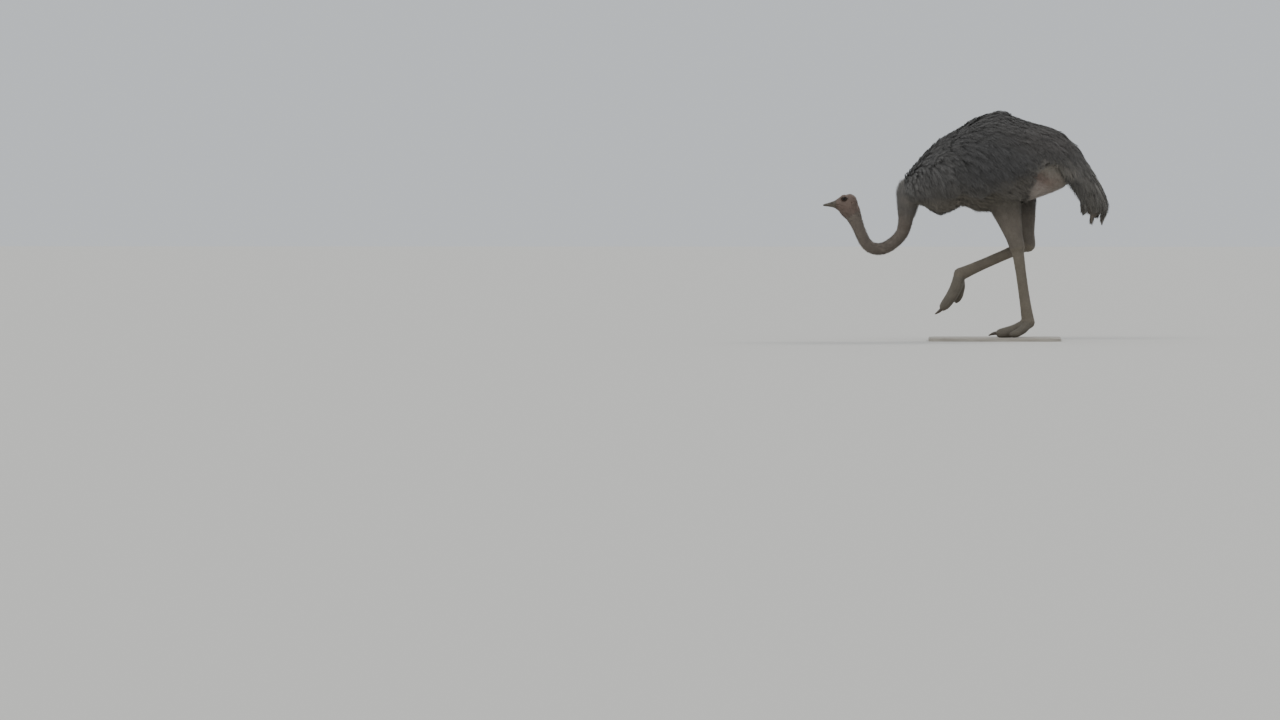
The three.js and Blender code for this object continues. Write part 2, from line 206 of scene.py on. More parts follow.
def voxelSkin(name, solids, voxel):
    # one closed surface round all the solids
    co, tris = joined(solids)
    raw = bpy.data.objects.new(name + "Raw", fillMesh(name + "Raw", co, tris))
    bpy.context.scene.collection.objects.link(raw)
    modifier = raw.modifiers.new("oneSkin", "REMESH")
    modifier.mode = "VOXEL"
    modifier.voxel_size = voxel
    modifier.adaptivity = 0
    made = raw.evaluated_get(bpy.context.evaluated_depsgraph_get())
    mesh = bpy.data.meshes.new_from_object(made)
    mesh.name = name
    bpy.data.objects.remove(raw)
    return largestPart(mesh)


def largestPart(mesh):
    # drops the small bubbles that a remesh leaves inside
    edges = edgesOf(mesh)
    label = np.arange(len(mesh.vertices))
    while True:
        low = np.minimum(label[edges[:, 0]], label[edges[:, 1]])
        before = label.copy()
        np.minimum.at(label, edges[:, 0], low)
        np.minimum.at(label, edges[:, 1], low)
        label = label[label]
        if (label == before).all():
            break
    names, counts = np.unique(label, return_counts=True)
    if len(names) > 1:
        stray = np.flatnonzero(label != names[counts.argmax()])
        bm = bmesh.new()
        bm.from_mesh(mesh)
        bm.verts.ensure_lookup_table()
        bmesh.ops.delete(bm, geom=[bm.verts[i] for i in stray], context="VERTS")
        bm.to_mesh(mesh)
        bm.free()
    return mesh


def neighbourMean(values, edges, degree):
    out = np.empty_like(values)
    for k in range(values.shape[1]):
        total = np.bincount(edges[:, 0], weights=values[edges[:, 1], k], minlength=len(values))
        total += np.bincount(edges[:, 1], weights=values[edges[:, 0], k], minlength=len(values))
        out[:, k] = total / degree
    return out


def relax(mesh, rounds, share=None, values=None, keepSize=True):
    # smooths the shape, or the values given; keepSize takes back the shrinking
    edges = edgesOf(mesh)
    data = coordsOf(mesh) if values is None else values.reshape(len(mesh.vertices), -1)
    degree = np.maximum(np.bincount(edges.ravel(), minlength=len(data)), 1)
    weight = 1.0 if share is None else share[:, None]
    for _ in range(rounds):
        data = data + 0.5 * weight * (neighbourMean(data, edges, degree) - data)
        if keepSize:
            data = data - 0.53 * weight * (neighbourMean(data, edges, degree) - data)
    if values is None:
        putCoords(mesh, data)
    return data.reshape(-1) if values is not None and values.ndim == 1 else data


# markings that the skin and the feathers share; a few patches hold painted shade and painted light, marked
# below
markingsAndPaintedLight = {
    "base": (0.076, 0.073, 0.070),  # drab grey-brown of a hen's plumage
    "zones": [  # middle in X and Z, reach and colour of each softly bounded patch, in metres
        {"at": (-0.42, 0.95), "reach": (0.20, 0.20), "colour": (0.088, 0.085, 0.082), "share": 0.7},
        # painted shade: darker over the wing pit in the body's middle
        {"at": (-0.05, 1.03), "reach": (0.24, 0.17), "colour": (0.059, 0.058, 0.058), "share": 0.8},
        # lighter low on the body: partly paler plumage, partly painted light against the underside's shade
        {"at": (-0.10, 0.86), "reach": (0.38, 0.070), "colour": (0.100, 0.094, 0.086), "share": 0.8},
        # lighter at the neck's root: partly paler down, partly painted light in the fold between neck and
        # breast
        {"at": (-0.50, 0.89), "reach": (0.07, 0.110), "colour": (0.116, 0.112, 0.106), "share": 0.8},
        # lighter under the belly and behind the thigh: partly a paler brown, partly painted light against the
        # underside's shade
        {"at": (-0.22, 0.79), "reach": (0.34, 0.055), "colour": (0.150, 0.134, 0.110), "share": 0.8},
        {"at": (0.05, 0.78), "reach": (0.17, 0.070), "colour": (0.125, 0.112, 0.088), "share": 0.8},
        {"at": (0.14, 0.90), "reach": (0.17, 0.085), "colour": (0.124, 0.113, 0.099), "share": 0.8},
        {"at": (0.30, 1.18), "reach": (0.30, 0.10), "colour": (0.076, 0.070, 0.066), "share": 0.8},
        {"at": (0.58, 0.86), "reach": (0.16, 0.30), "colour": (0.104, 0.098, 0.087), "share": 0.8},
        {"at": (0.54, 0.70), "reach": (0.16, 0.10), "colour": (0.120, 0.100, 0.082), "share": 0.8},
        {"at": (0.31, 1.01), "reach": (0.15, 0.060), "colour": (0.150, 0.140, 0.126), "share": 0.8},
        {"at": (0.37, 0.98), "reach": (0.07, 0.080), "colour": (0.190, 0.176, 0.156), "share": 0.8},
    ],
    "softness": (0.35, 1.25),  # a zone fades between these shares of its reach
}


def plumageColour(points):
    colour = np.tile(np.array(markingsAndPaintedLight["base"]), (len(points), 1))
    for zone in markingsAndPaintedLight["zones"]:
        off = (points[:, [0, 2]] - zone["at"]) / zone["reach"]
        share = zone["share"] * (1 - ease(*markingsAndPaintedLight["softness"], np.hypot(off[:, 0], off[:, 1])))
        colour = toward(colour, zone["colour"], share)
    return colour


flank = {  # the naked side behind the wing and over the thigh; places are in X and Z
    "front": (0.155, 0.225),
    "rear": (0.365, 0.425),
    "top": (0.985, 1.040),
    "plumesAbove": 0.047,
    "topTone": (0.285, 0.258, 0.222),  # buff above
    "middleTone": (0.225, 0.168, 0.139),  # brown across the middle
    "lowTone": (0.340, 0.292, 0.260),  # pale pinkish grey below
    "topToneFrom": (0.925, 0.990),
    "lowToneTo": (0.855, 0.920),
    "brown": (0.27, 0.10),  # middle and width of the brown patch
}


def flankColour(points):
    x, _, z = points.T
    height = z + 0.25 * (x - 0.3) + 0.010 * np.sin(x * 46)
    middle = toward(flank["topTone"], flank["middleTone"], hump(x, *flank["brown"]))
    below = toward(middle, flank["lowTone"], 1 - ease(*flank["lowToneTo"], height))
    return toward(below, flank["topTone"], ease(*flank["topToneFrom"], height))


def bareFlank(co):
    # 1 where the side is bare
    x, _, z = co.T
    front = ease(*flank["front"], x - 0.30 * (z - 0.83))
    rear = 1 - ease(*flank["rear"], x + 0.45 * (z - 0.93))
    return front * rear * (1 - ease(*flank["top"], z + 0.12 * (x - 0.3)))


def noPlumes(co):
    # as the bare flank, but reaching higher, so that the barbs end at its edge
    return bareFlank(co - np.array([0, 0, flank["plumesAbove"]]))


skinColours = {
    "neck": (0.170, 0.142, 0.118),
    "head": (0.150, 0.108, 0.088),
    "leg": (0.160, 0.137, 0.105),
    "shank": (0.128, 0.110, 0.090),
    "toe": (0.135, 0.119, 0.094),
    "bill": (0.078, 0.063, 0.045),
    "lashes": (0.012, 0.010, 0.009),
}


def neckColour(points, toBody):
    # painted shade: darker in its bend, on the loop's shaded underside; towards its root it takes on a
    # lighter copy of the body's grey, partly paler down and partly painted light in the fold against the
    # breast
    own = np.array(skinColours["neck"]) * (1 - 0.1 * ease(-0.82, -0.72, points[:, 0]))[:, None]
    return toward(own, 2.2 * plumageColour(points), 0.8 * (1 - ease(0.01, 0.15, toBody)))


def thighGreyAndShade(co):
    # how much of the plumage's grey is in the skin and down of the thigh, rising towards its top under the
    # body: partly the plumage's colour, partly painted shade
    return 0.8 * ease(0.70, 0.82, co[:, 2])


skinSize = {
    "voxel": 0.005,
    "bodyCoat": 0.029,  # how deep the skin lies under the outer plumage, and beside the neck
    "breastCoat": 0.010,
    "neckCoat": 0.0016,
    "headCoat": 0.0,
    "flankCoat": (0.004, 0.018),  # at the bare flank's lower edge, and more at its top
    "neckRoot": (-0.458, 0, 0.885),
    "billRoot": 0.056,  # how far before the eye it covers the bill
    "clawRoot": 0.30,  # share of the claw it covers
    "tailStump": 0.42,  # the fleshy tail's share of the feathered one
}

eyeLow, eyeHigh = boxOf("eye_left")
eyeAt = (eyeLow + eyeHigh) / 2 * np.array([1, -1, 1])  # the right eye's middle
eyeShape = np.array([0.0248, (eyeHigh[1] - eyeLow[1]) / 2, 0.0243])
lidOpening = {"long": 0.0168, "up": 0.0128, "down": 0.0132, "tilt": 0.12}


def headPlace(co):
    # forward, side and up of each point, from between the eyes
    return eyeAt[0] - co[:, 0], np.abs(co[:, 1]), co[:, 2] - eyeAt[2]


def tilted(forward, up, angle):
    turned = forward * math.cos(angle) - up * math.sin(angle)
    return turned, forward * math.sin(angle) + up * math.cos(angle)


def lidEllipse(forward, up, extra):
    # below 1 inside the eye's opening widened by extra
    f, u = tilted(forward, up, lidOpening["tilt"])
    height = np.where(u > 0, lidOpening["up"], lidOpening["down"]) + extra
    return np.hypot(f / (lidOpening["long"] + extra), u / height)


def onEyeball(forward, up, sign, lift, extra=0.0):
    # a place over one eyeball, at lift times the ball's size
    room = max(0.04, 1 - (forward / eyeShape[0] / lift) ** 2 - (up / eyeShape[2] / lift) ** 2)
    out = eyeShape[1] * lift * math.sqrt(room) + extra
    return eyeAt * (1, sign, 1) + np.array([-forward, sign * out, up])


def fromEar(forward, up):
    return np.hypot(forward + 0.045, (up + 0.021) * 0.85)


def fromNeckRoot(co):
    return np.linalg.norm(co - np.array(skinSize["neckRoot"]), axis=1)


def coatDepth(co):
    # the plumage grows thicker from the neck backwards
    thin = skinSize["breastCoat"]
    return thin + (skinSize["bodyCoat"] - thin) * ease(0.05, 0.32, fromNeckRoot(co))


def thinBelow(normals):
    # on the underside the plumage is a short down
    return 1 - 0.72 * ease(0.10, 0.60, -normals[:, 2])


headForm = {
    "swells": [  # height, then middle and width along the head and upwards, and where it starts sideways
        {"high": 0.0022, "forward": (0.004, 0.022), "up": (0.021, 0.006), "side": (0.012, 0.026)},  # brow
        {"high": -0.0026, "forward": (0.036, 0.010), "up": (-0.006, 0.010), "side": (0.010, 0.024)},  # lores
        {"high": 0.0016, "forward": (-0.012, 0.020), "up": (-0.036, 0.011), "side": (0.016, 0.028)},  # cheek
    ],
    "furrow": 0.0016,  # between the brows
    "gape": 0.0028,  # how deep its line is, which runs back from the bill to below the eye
    "lips": ((-0.0042, 0.0011), (0.0042, 0.0008)),  # off the gape's line, height
    "earHole": 0.0046,
    "earRim": 0.0011,
    "lidFolds": ((0.0045, -0.012), (0.0066, 0.012), (0.0088, -0.010), (0.0112, 0.010)),
    "orbit": 1.070,  # how far the skin round the lids stands over the eyeball
    "billEdge": 0.0011,  # how much the skin thins out over the root of the bill
}


def sculptHead(mesh, share):
    co, normals = coordsOf(mesh), normalsOf(mesh)
    forward, side, up = headPlace(co)
    move = np.zeros(len(co))
    for swell in headForm["swells"]:
        at = hump(forward, *swell["forward"]) * hump(up, *swell["up"]) * ease(*swell["side"], side)
        move += swell["high"] * at
    crown = ease(0.012, 0.022, up) * hump(forward, 0.0, 0.030)
    move -= headForm["furrow"] * hump(side, 0, 0.010) * crown
    gapeLine = -0.0352 + 0.06 * (0.122 - forward) - 0.20 * np.maximum(0.046 - forward, 0)
    onGape = ease(-0.002, 0.010, forward) * ease(0.006, 0.012, side)
    move -= headForm["gape"] * hump(up, gapeLine, 0.0015) * onGape
    for off, high in headForm["lips"]:
        move += high * hump(up, gapeLine + off, 0.0026) * onGape
    ear, onSide = fromEar(forward, up), ease(0.015, 0.025, side)
    move -= headForm["earHole"] * hump(ear, 0, 0.0042) * onSide
    move += headForm["earRim"] * hump(ear, 0.0078, 0.0026) * onSide
    uneven = 0.0012 * np.sin(up * 420 + side * 260)
    move -= headForm["billEdge"] * ease(0.046, 0.0555, forward + uneven)
    co += normals * (move * share)[:, None]
    # the orbit bulges over the eyeball, and the skin inside the lids lies behind it
    forward, side, up = headPlace(co)
    sign = np.where(co[:, 1] < 0, -1.0, 1.0)
    centre = eyeAt * np.stack([np.ones(len(co)), sign, np.ones(len(co))], 1)
    offset = co - centre
    reach = np.linalg.norm(offset / eyeShape, axis=1)
    inside = (1 - ease(0.96, 1.05, lidEllipse(forward, up, 0.0010))) * ease(0.004, 0.014, side)
    folds = sum(high * hump(lidEllipse(forward, up, out), 1, 0.05) for out, high in headForm["lidFolds"])
    cover = np.maximum(reach, headForm["orbit"] + folds)
    pushed = centre + offset * (cover / np.maximum(reach, 0.2))[:, None]
    close = (side > 0.003) & (reach < 1.3)
    co = np.where(close[:, None], pushed, co)
    deep = sign * np.minimum(np.abs(co[:, 1]), eyeAt[1] + 0.0035)
    co[:, 1] = co[:, 1] * (1 - inside) + deep * inside
    putCoords(mesh, co)


footShape = {
    "padDepth": 0.0022,
    "pads": {"toe_large": 3.0, "toe_small": 2.0},  # pads along each toe
    "upperSide": (-0.6, 0.0, 0.8),  # roughly the way the top of each toe and the shin face
}


def limbAxes(node):
    # a limb's start, direction away from the body, length, upper side and the line of its middle
    co = cadSolid(node)[0]
    middle = co.mean(0)
    way = np.linalg.svd(co - middle, full_matrices=False)[2][0]
    before = ("leg_upper" if "lower" in node else "leg_lower") + node[node.rfind("_") :]
    if (middle - cadSolid(before)[0].mean(0)) @ way < 0:
        way = -way
    along = (co - middle) @ way
    start, length = middle + way * along.min(), np.ptp(along)
    above = np.array(footShape["upperSide"])
    above = unit(above - way * (above @ way))
    share = (along - along.min()) / length
    cuts = np.linspace(0, 1, 13)
    line = []
    for low, high in zip(cuts[:-1], cuts[1:]):
        inside = (share >= low - 0.03) & (share <= high + 0.03)
        line.append((co[inside] - start).mean(0) if inside.any() else line[-1])
    line = np.array(line)
    return start, way, length, above, (cuts[:-1] + 1 / 24, line - (line @ way)[:, None] * way)


def sculptFeet(mesh):
    # pads under the toes
    co, normals = coordsOf(mesh), normalsOf(mesh)
    for node in toeNodes:
        start, way, length, above, _ = limbAxes(node)
        share = (co - start) @ way / length
        below = ease(0.0, 0.7, -(normals @ above)) * inBox(co, node, 0.006)
        pads = footShape["pads"][node[: node.rfind("_")]]
        crease = np.abs(np.sin(np.pi * pads * share)) ** 0.5 - 0.75
        move = footShape["padDepth"] * crease * below * ease(0.0, 0.12, share)
        co += normals * move[:, None]
    putCoords(mesh, co)


def atToeTips(co):
    # 1 at the blunt ends of the toes, to round them
    chosen = np.zeros(len(co))
    for node in toeNodes:
        start, way, length, _, _ = limbAxes(node)
        left = length - (co - start) @ way
        chosen = np.maximum(chosen, inBox(co, node, 0.008) * (1 - ease(0.008, 0.030, left)))
    return chosen


scutes = {  # overlapping plates down the front of each shin and along the top of each toe
    "leg_lower": {"plates": 26, "spread": 0.95, "from": 0.03, "to": 0.93},
    "toe_large": {"plates": 14, "spread": 0.80, "from": 0.24, "to": 0.91},
    "toe_small": {"plates": 9, "spread": 0.75, "from": 0.24, "to": 0.84},
    "profile": [(0.0, -0.0005), (0.45, 0.0006), (0.90, 0.0013), (1.0, 0.0009), (1.02, -0.0008)],
    # painted shade and painted light down each plate's rows: darkest where its edge rolls under the next,
    # lightest on its raised part
    "shade": (0.80, 1.0, 1.10, 0.9, 0.45),
    "across": 9,
    "seed": 31,
}


def scutePlate(tree, axes, top, size, wide):
    # the rows of one plate's points, laid on the skin, and their distances from the limb's middle
    start, way, length, above, (cuts, line) = axes
    side = np.cross(way, above)
    co = []
    for down, lift in scutes["profile"]:
        for turn in np.linspace(-1, 1, scutes["across"]):
            t = top + size * (down + 0.16 * (1 - turn**2) * (down > 0.5) - 0.08)
            centre = start + way * t * length
            centre = centre + np.array([np.interp(t, cuts, line[:, k]) for k in range(3)])
            out = above * math.cos(turn * wide) + side * math.sin(turn * wide)
            hit = tree.ray_cast((centre + out * 0.12).tolist(), (-out).tolist(), 0.16)
            place = np.array(hit[0]) if hit[0] is not None else centre
            edge = 1 - abs(turn) ** 5
            co.append(place + out * (lift * edge - 0.0004 * (1 - edge)))
    return np.array(co), np.linalg.norm(np.array(co) - centre, axis=1)


def makeScutes(tree, material):
    rng = np.random.default_rng(scutes["seed"])
    quads = gridQuads(len(scutes["profile"]), scutes["across"])
    solids, tints = [], []
    for node in legNodes:
        if node in thighNodes:
            continue
        row, axes = scutes[node[: node.rfind("_")]], limbAxes(node)
        size = (row["to"] - row["from"]) / row["plates"]
        for plate in range(row["plates"]):
            wide = row["spread"] * rng.uniform(0.9, 1.05)
            co, reach = scutePlate(tree, axes, row["from"] + plate * size, size, wide)
            if np.ptp(reach) > 0.55 * np.median(reach):  # the plate would bridge a gap between toes
                continue
            solids.append((co, quads))
            own = np.array(skinColours["toe" if node in toeNodes else "leg"]) * rng.uniform(0.82, 1.12)
            # the plate's rows carry that painted shade and light
            tints.append(np.repeat(scutes["shade"], scutes["across"])[:, None] * own)
    mesh = fillMesh("scutes", *joined(solids))
    paintPoints(mesh, tint=np.concatenate(tints), scaly=0.0)
    addPiece("scutes", mesh, material)
    print("skin:", len(solids), "scutes")


lids = {
    "rings": [  # distance out from the opening, height over the eyeball
        (-0.0006, 0.990), (-0.0005, 1.020), (-0.0001, 1.052), (0.0006, 1.072), (0.0014, 1.082),
        (0.0023, 1.082), (0.0031, 1.070), (0.0040, 1.045), (0.0050, 1.010),
    ],
    "turns": 72,
    "wrinkle": 0.00018,
    "shade": 0.62,  # of the colour of the head
}


def makeLids(material):
    # each pair of lids is one rolled ring from the eyeball to under the head's skin
    solids = []
    quads = gridQuads(len(lids["rings"]), lids["turns"], closed=True)
    for sign in (-1, 1):
        co = []
        for out, lift in lids["rings"]:
            for turn in range(lids["turns"]):
                a = 2 * math.pi * turn / lids["turns"]
                tall = (lidOpening["up"] if math.sin(a) > 0 else lidOpening["down"]) + out
                long = lidOpening["long"] + out
                f, u = tilted(long * math.cos(a), tall * math.sin(a), -lidOpening["tilt"])
                wrinkle = lids["wrinkle"] * math.sin(a * 21 + out * 1500) * (0.001 < out < 0.008)
                co.append(onEyeball(f, u, sign, lift, wrinkle))
        solids.append((np.array(co), quads if sign < 0 else quads[:, ::-1]))
    mesh = fillMesh("eyelids", *joined(solids))
    paintPoints(mesh, tint=np.array(skinColours["head"]) * lids["shade"], scaly=0.0)
    addPiece("eyelids", mesh, material)


def skinMesh():
    solids = [cadSolid(node, 0.0006) for node in fleshNodes if node != "tail"]
    tail, tris = cadSolid("tail")
    low, high = boxOf("tail")
    root = np.array([low[0] + 0.01, 0, high[2] - 0.10])
    solids.append((root + (tail - root) * skinSize["tailStump"], tris))
    solids += [cadSolid(node, 0.0008) for node in ("eye_left", "eye_right")]  # closes the orbits
    for node in ("bill_upper", "bill_lower"):  # the head's skin runs on over the root of the bill
        bill, tris = cadSolid(node, 0.0010)
        bill[:, 0] = np.maximum(bill[:, 0], eyeAt[0] - skinSize["billRoot"])
        solids.append((bill, tris))
    for side in ("_left", "_right"):  # and the toe's skin over the root of its claw
        claw, tris = cadSolid("claw" + side, 0.0012)
        way = unit(claw.mean(0) - cadSolid("toe_large" + side)[0].mean(0))
        along = claw @ way
        limit = along.min() + skinSize["clawRoot"] * np.ptp(along)
        solids.append((claw - np.maximum(along - limit, 0)[:, None] * way, tris))
    mesh = voxelSkin("skin", solids, skinSize["voxel"])
    relax(mesh, 14)
    relax(mesh, 26, share=atToeTips(coordsOf(mesh)), keepSize=False)
    # moves in by the coat's depth
    co = coordsOf(mesh)
    groups = (bodyNodes + ["tail"], neckNodes, ["head"], legNodes)
    away = np.stack([farFrom(nodes, co) for nodes in groups], 1)
    region = relax(mesh, 12, values=np.eye(4)[away.argmin(1)], keepSize=False)
    depth = region @ np.array([0, skinSize["neckCoat"], skinSize["headCoat"], 0.0])
    depth += region[:, 0] * coatDepth(co) * thinBelow(normalsOf(mesh))
    bare, (least, more) = bareFlank(co), skinSize["flankCoat"]
    depth = depth * (1 - bare) + (least + more * ease(0.86, 0.95, co[:, 2])) * bare
    depth = relax(mesh, 10, values=depth, keepSize=False) * (1 - ease(0.3, 1.0, region[:, 3]))
    normals = unit(relax(mesh, 10, values=normalsOf(mesh), keepSize=False))
    putCoords(mesh, co - normals * depth[:, None])
    relax(mesh, 4, share=region[:, 0])
    print("skin: one surface of", len(mesh.polygons), "faces")
    return mesh


def refine(mesh, chosen):
    # splits every face whose corners are all chosen in four
    bm = bmesh.new()
    bm.from_mesh(mesh)
    bm.verts.ensure_lookup_table()
    wanted = set(np.flatnonzero(chosen).tolist())
    edges = [e for e in bm.edges if e.verts[0].index in wanted and e.verts[1].index in wanted]
    bmesh.ops.subdivide_edges(bm, edges=edges, cuts=1, use_grid_fill=True)
    bm.to_mesh(mesh)
    bm.free()
    mesh.update()


def paintSkin(mesh):
    co = coordsOf(mesh)
    groups = (bodyNodes + ["tail"], neckNodes, ["head"], thighNodes, shinNodes, toeNodes)
    away = np.stack([farFrom(nodes, co) for nodes in groups], 1)
    share = relax(mesh, 8, values=np.eye(len(groups))[away.argmin(1)], keepSize=False)
    tones = [toward(plumageColour(co), flankColour(co), bareFlank(co)), neckColour(co, away[:, 0])]
    tones += [np.array(skinColours[name]) for name in ("head", "shank", "leg", "toe")]
    colour = sum(share[:, k : k + 1] * tone for k, tone in enumerate(tones))
    # the thigh's top greyer and darker: partly the plumage's colour, partly painted shade under the body
    colour = toward(colour, plumageColour(co), share[:, 3] * thighGreyAndShade(co))
    atBill = ease(0.036, 0.055, headPlace(co)[0]) * (share[:, 2] > 0.3)
    colour = toward(colour, skinColours["bill"], atBill)
    paintPoints(mesh, tint=colour, scaly=share[:, 4] + share[:, 5] + 0.25 * share[:, 3])


def makeSkin(material):
    mesh = skinMesh()
    feet = [node for node in legNodes if node not in thighNodes]
    for nodes, reach in ((["head"], 0.006), (["head"], 0.001), (feet, 0.004)):
        refine(mesh, nearNodes(mesh, nodes, reach))
    atHead = relax(mesh, 6, values=nearNodes(mesh, ["head"], 0).astype(float), keepSize=False)
    atFeet = relax(mesh, 4, values=nearNodes(mesh, feet, 0).astype(float), keepSize=False)
    relax(mesh, 8, share=np.maximum(atHead, atFeet))
    sculptHead(mesh, atHead)
    sculptFeet(mesh)
    paintSkin(mesh)
    piece = addPiece("skin", mesh, material, fleshNodes)
    print("skin: head and feet done,", len(mesh.polygons), "faces")
    makeLids(material)
    tree = BVHTree.FromPolygons(coordsOf(mesh).tolist(), [p.vertices[:] for p in mesh.polygons])
    makeScutes(tree, material)
    return piece


def nodeGroup(name, inputs, outputs):
    group = bpy.data.node_groups.new(name, "ShaderNodeTree")
    for label, kind, value in inputs:
        socket = group.interface.new_socket(name=label, in_out="INPUT", socket_type=kind)
        if value is not None:
            socket.default_value = value
    for label, kind in outputs:
        group.interface.new_socket(name=label, in_out="OUTPUT", socket_type=kind)
    return group, group.nodes.new("NodeGroupInput"), group.nodes.new("NodeGroupOutput")


def setInputs(node, **values):
    for key, value in values.items():
        node.inputs[key.replace("_", " ")].default_value = value


def addNode(tree, kind, settings=None, **values):
    node = tree.nodes.new("ShaderNode" + kind)
    for key, value in (settings or {}).items():
        setattr(node, key, value)
    setInputs(node, **values)
    return node


def wire(tree, *pairs):
    for source, target in pairs:
        tree.links.new(source, target)


def mathNode(tree, operation, a, b):
    node = addNode(tree, "Math", {"operation": operation})
    for socket, value in zip(node.inputs, (a, b)):
        if isinstance(value, (int, float)):
            socket.default_value = value
        else:
            tree.links.new(value, socket)
    return node.outputs[0]


def mixColour(tree, share, a, b, blend="MIX"):
    node = addNode(tree, "Mix", {"data_type": "RGBA", "blend_type": blend})
    for socket, value in ((node.inputs[0], share), (node.inputs[6], a), (node.inputs[7], b)):
        if isinstance(value, (int, float, tuple)):
            socket.default_value = value
        else:
            tree.links.new(value, socket)
    return node.outputs[2]


def readPoint(tree, name, colour=False):
    node = addNode(tree, "Attribute", {"attribute_name": name})
    return node.outputs["Color" if colour else "Fac"]


def objectPlace(tree, stretch=None):
    # places on the object, stretched along X, Y and Z
    place = addNode(tree, "TexCoord").outputs["Object"]
    if stretch is None:
        return place
    mapping = addNode(tree, "Mapping", Scale=stretch)
    wire(tree, (place, mapping.inputs["Vector"]))
    return mapping.outputs["Vector"]


def noiseAt(tree, place, output=0, **values):
    noise = addNode(tree, "TexNoise", **values)
    wire(tree, (place, noise.inputs["Vector"]))
    return noise.outputs[output]


def rampOf(tree, factor, *stops):
    # stops are positions and colours
    ramp = addNode(tree, "ValToRGB")
    elements = ramp.color_ramp.elements
    while len(elements) < len(stops):
        elements.new(0.5)
    for element, (position, colour) in zip(elements, stops):
        element.position = position
        element.color = (*colour, 1)
    wire(tree, (factor, ramp.inputs[0]))
    return ramp.outputs[0]


def shaded(tree, colour, value):
    # the colour made darker or lighter by a value around 1
    grey = addNode(tree, "CombineColor")
    wire(tree, *((value, socket) for socket in grey.inputs[:3]))
    return mixColour(tree, 1.0, colour, grey.outputs[0], "MULTIPLY")


def plumeGroup():
    # colour of one plume: dark downy root, paler worn tip, fine streaks along the barbs
    group, given, out = nodeGroup(
        "plumeColour",
        [
            ("Root Dark", "NodeSocketFloat", 0.6),
            ("Tip Pale", "NodeSocketFloat", 1.3),
            ("Variation", "NodeSocketFloat", 0.35),
            ("Streak Scale", "NodeSocketFloat", 60.0),
        ],
        [("Color", "NodeSocketColor"), ("Height", "NodeSocketFloat")],
    )
    tone, along, edge = (readPoint(group, name) for name in ("tone", "along", "edge"))
    lengthwise = addNode(group, "MapRange", {"interpolation_type": "SMOOTHSTEP"})
    streakAt = addNode(group, "CombineXYZ")
    wire(
        group,
        (along, lengthwise.inputs["Value"]),
        (given.outputs["Root Dark"], lengthwise.inputs["To Min"]),
        (given.outputs["Tip Pale"], lengthwise.inputs["To Max"]),
        (along, streakAt.inputs[0]),
        (tone, streakAt.inputs[1]),
        (edge, streakAt.inputs[2]),
    )
    spread = mathNode(group, "MULTIPLY", mathNode(group, "SUBTRACT", tone, 0.5), given.outputs["Variation"])
    bright = mathNode(group, "MULTIPLY", lengthwise.outputs[0], mathNode(group, "ADD", spread, 1.0))
    streak = addNode(group, "TexNoise", Detail=3.0, Roughness=0.6)
    wire(
        group,
        (streakAt.outputs[0], streak.inputs["Vector"]),
        (given.outputs["Streak Scale"], streak.inputs["Scale"]),
    )
    streaky = mathNode(group, "ADD", mathNode(group, "MULTIPLY", streak.outputs[0], 0.7), 0.65)
    fringe = mathNode(group, "ADD", mathNode(group, "MULTIPLY", edge, 0.18), 0.91)
    value = mathNode(group, "MULTIPLY", mathNode(group, "MULTIPLY", bright, streaky), fringe)
    colour = shaded(group, readPoint(group, "tint", True), value)
    wire(group, (colour, out.inputs["Color"]), (streak.outputs[0], out.inputs["Height"]))
    return group


def mottleGroup():
    # two scales of blotches that darken and lighten a colour
    group, given, out = nodeGroup(
        "mottle",
        [
            ("Color", "NodeSocketColor", (0.2, 0.2, 0.2, 1)),
            ("Large Scale", "NodeSocketFloat", 14.0),
            ("Small Scale", "NodeSocketFloat", 160.0),
            ("Amount", "NodeSocketFloat", 0.35),
        ],
        [("Color", "NodeSocketColor"), ("Height", "NodeSocketFloat")],
    )
    place = objectPlace(group)
    blotches = []
    for size in ("Large Scale", "Small Scale"):
        noise = addNode(group, "TexNoise", Detail=4.0, Roughness=0.55)
        wire(group, (place, noise.inputs["Vector"]), (given.outputs[size], noise.inputs["Scale"]))
        blotches.append(noise.outputs[0])
    both = mathNode(group, "SUBTRACT", mathNode(group, "ADD", *blotches), 1.0)
    swing = mathNode(group, "MULTIPLY", mathNode(group, "MULTIPLY", both, given.outputs["Amount"]), 2.0)
    colour = shaded(group, given.outputs["Color"], mathNode(group, "ADD", swing, 1.0))
    wire(group, (colour, out.inputs["Color"]), (blotches[1], out.inputs["Height"]))
    return group


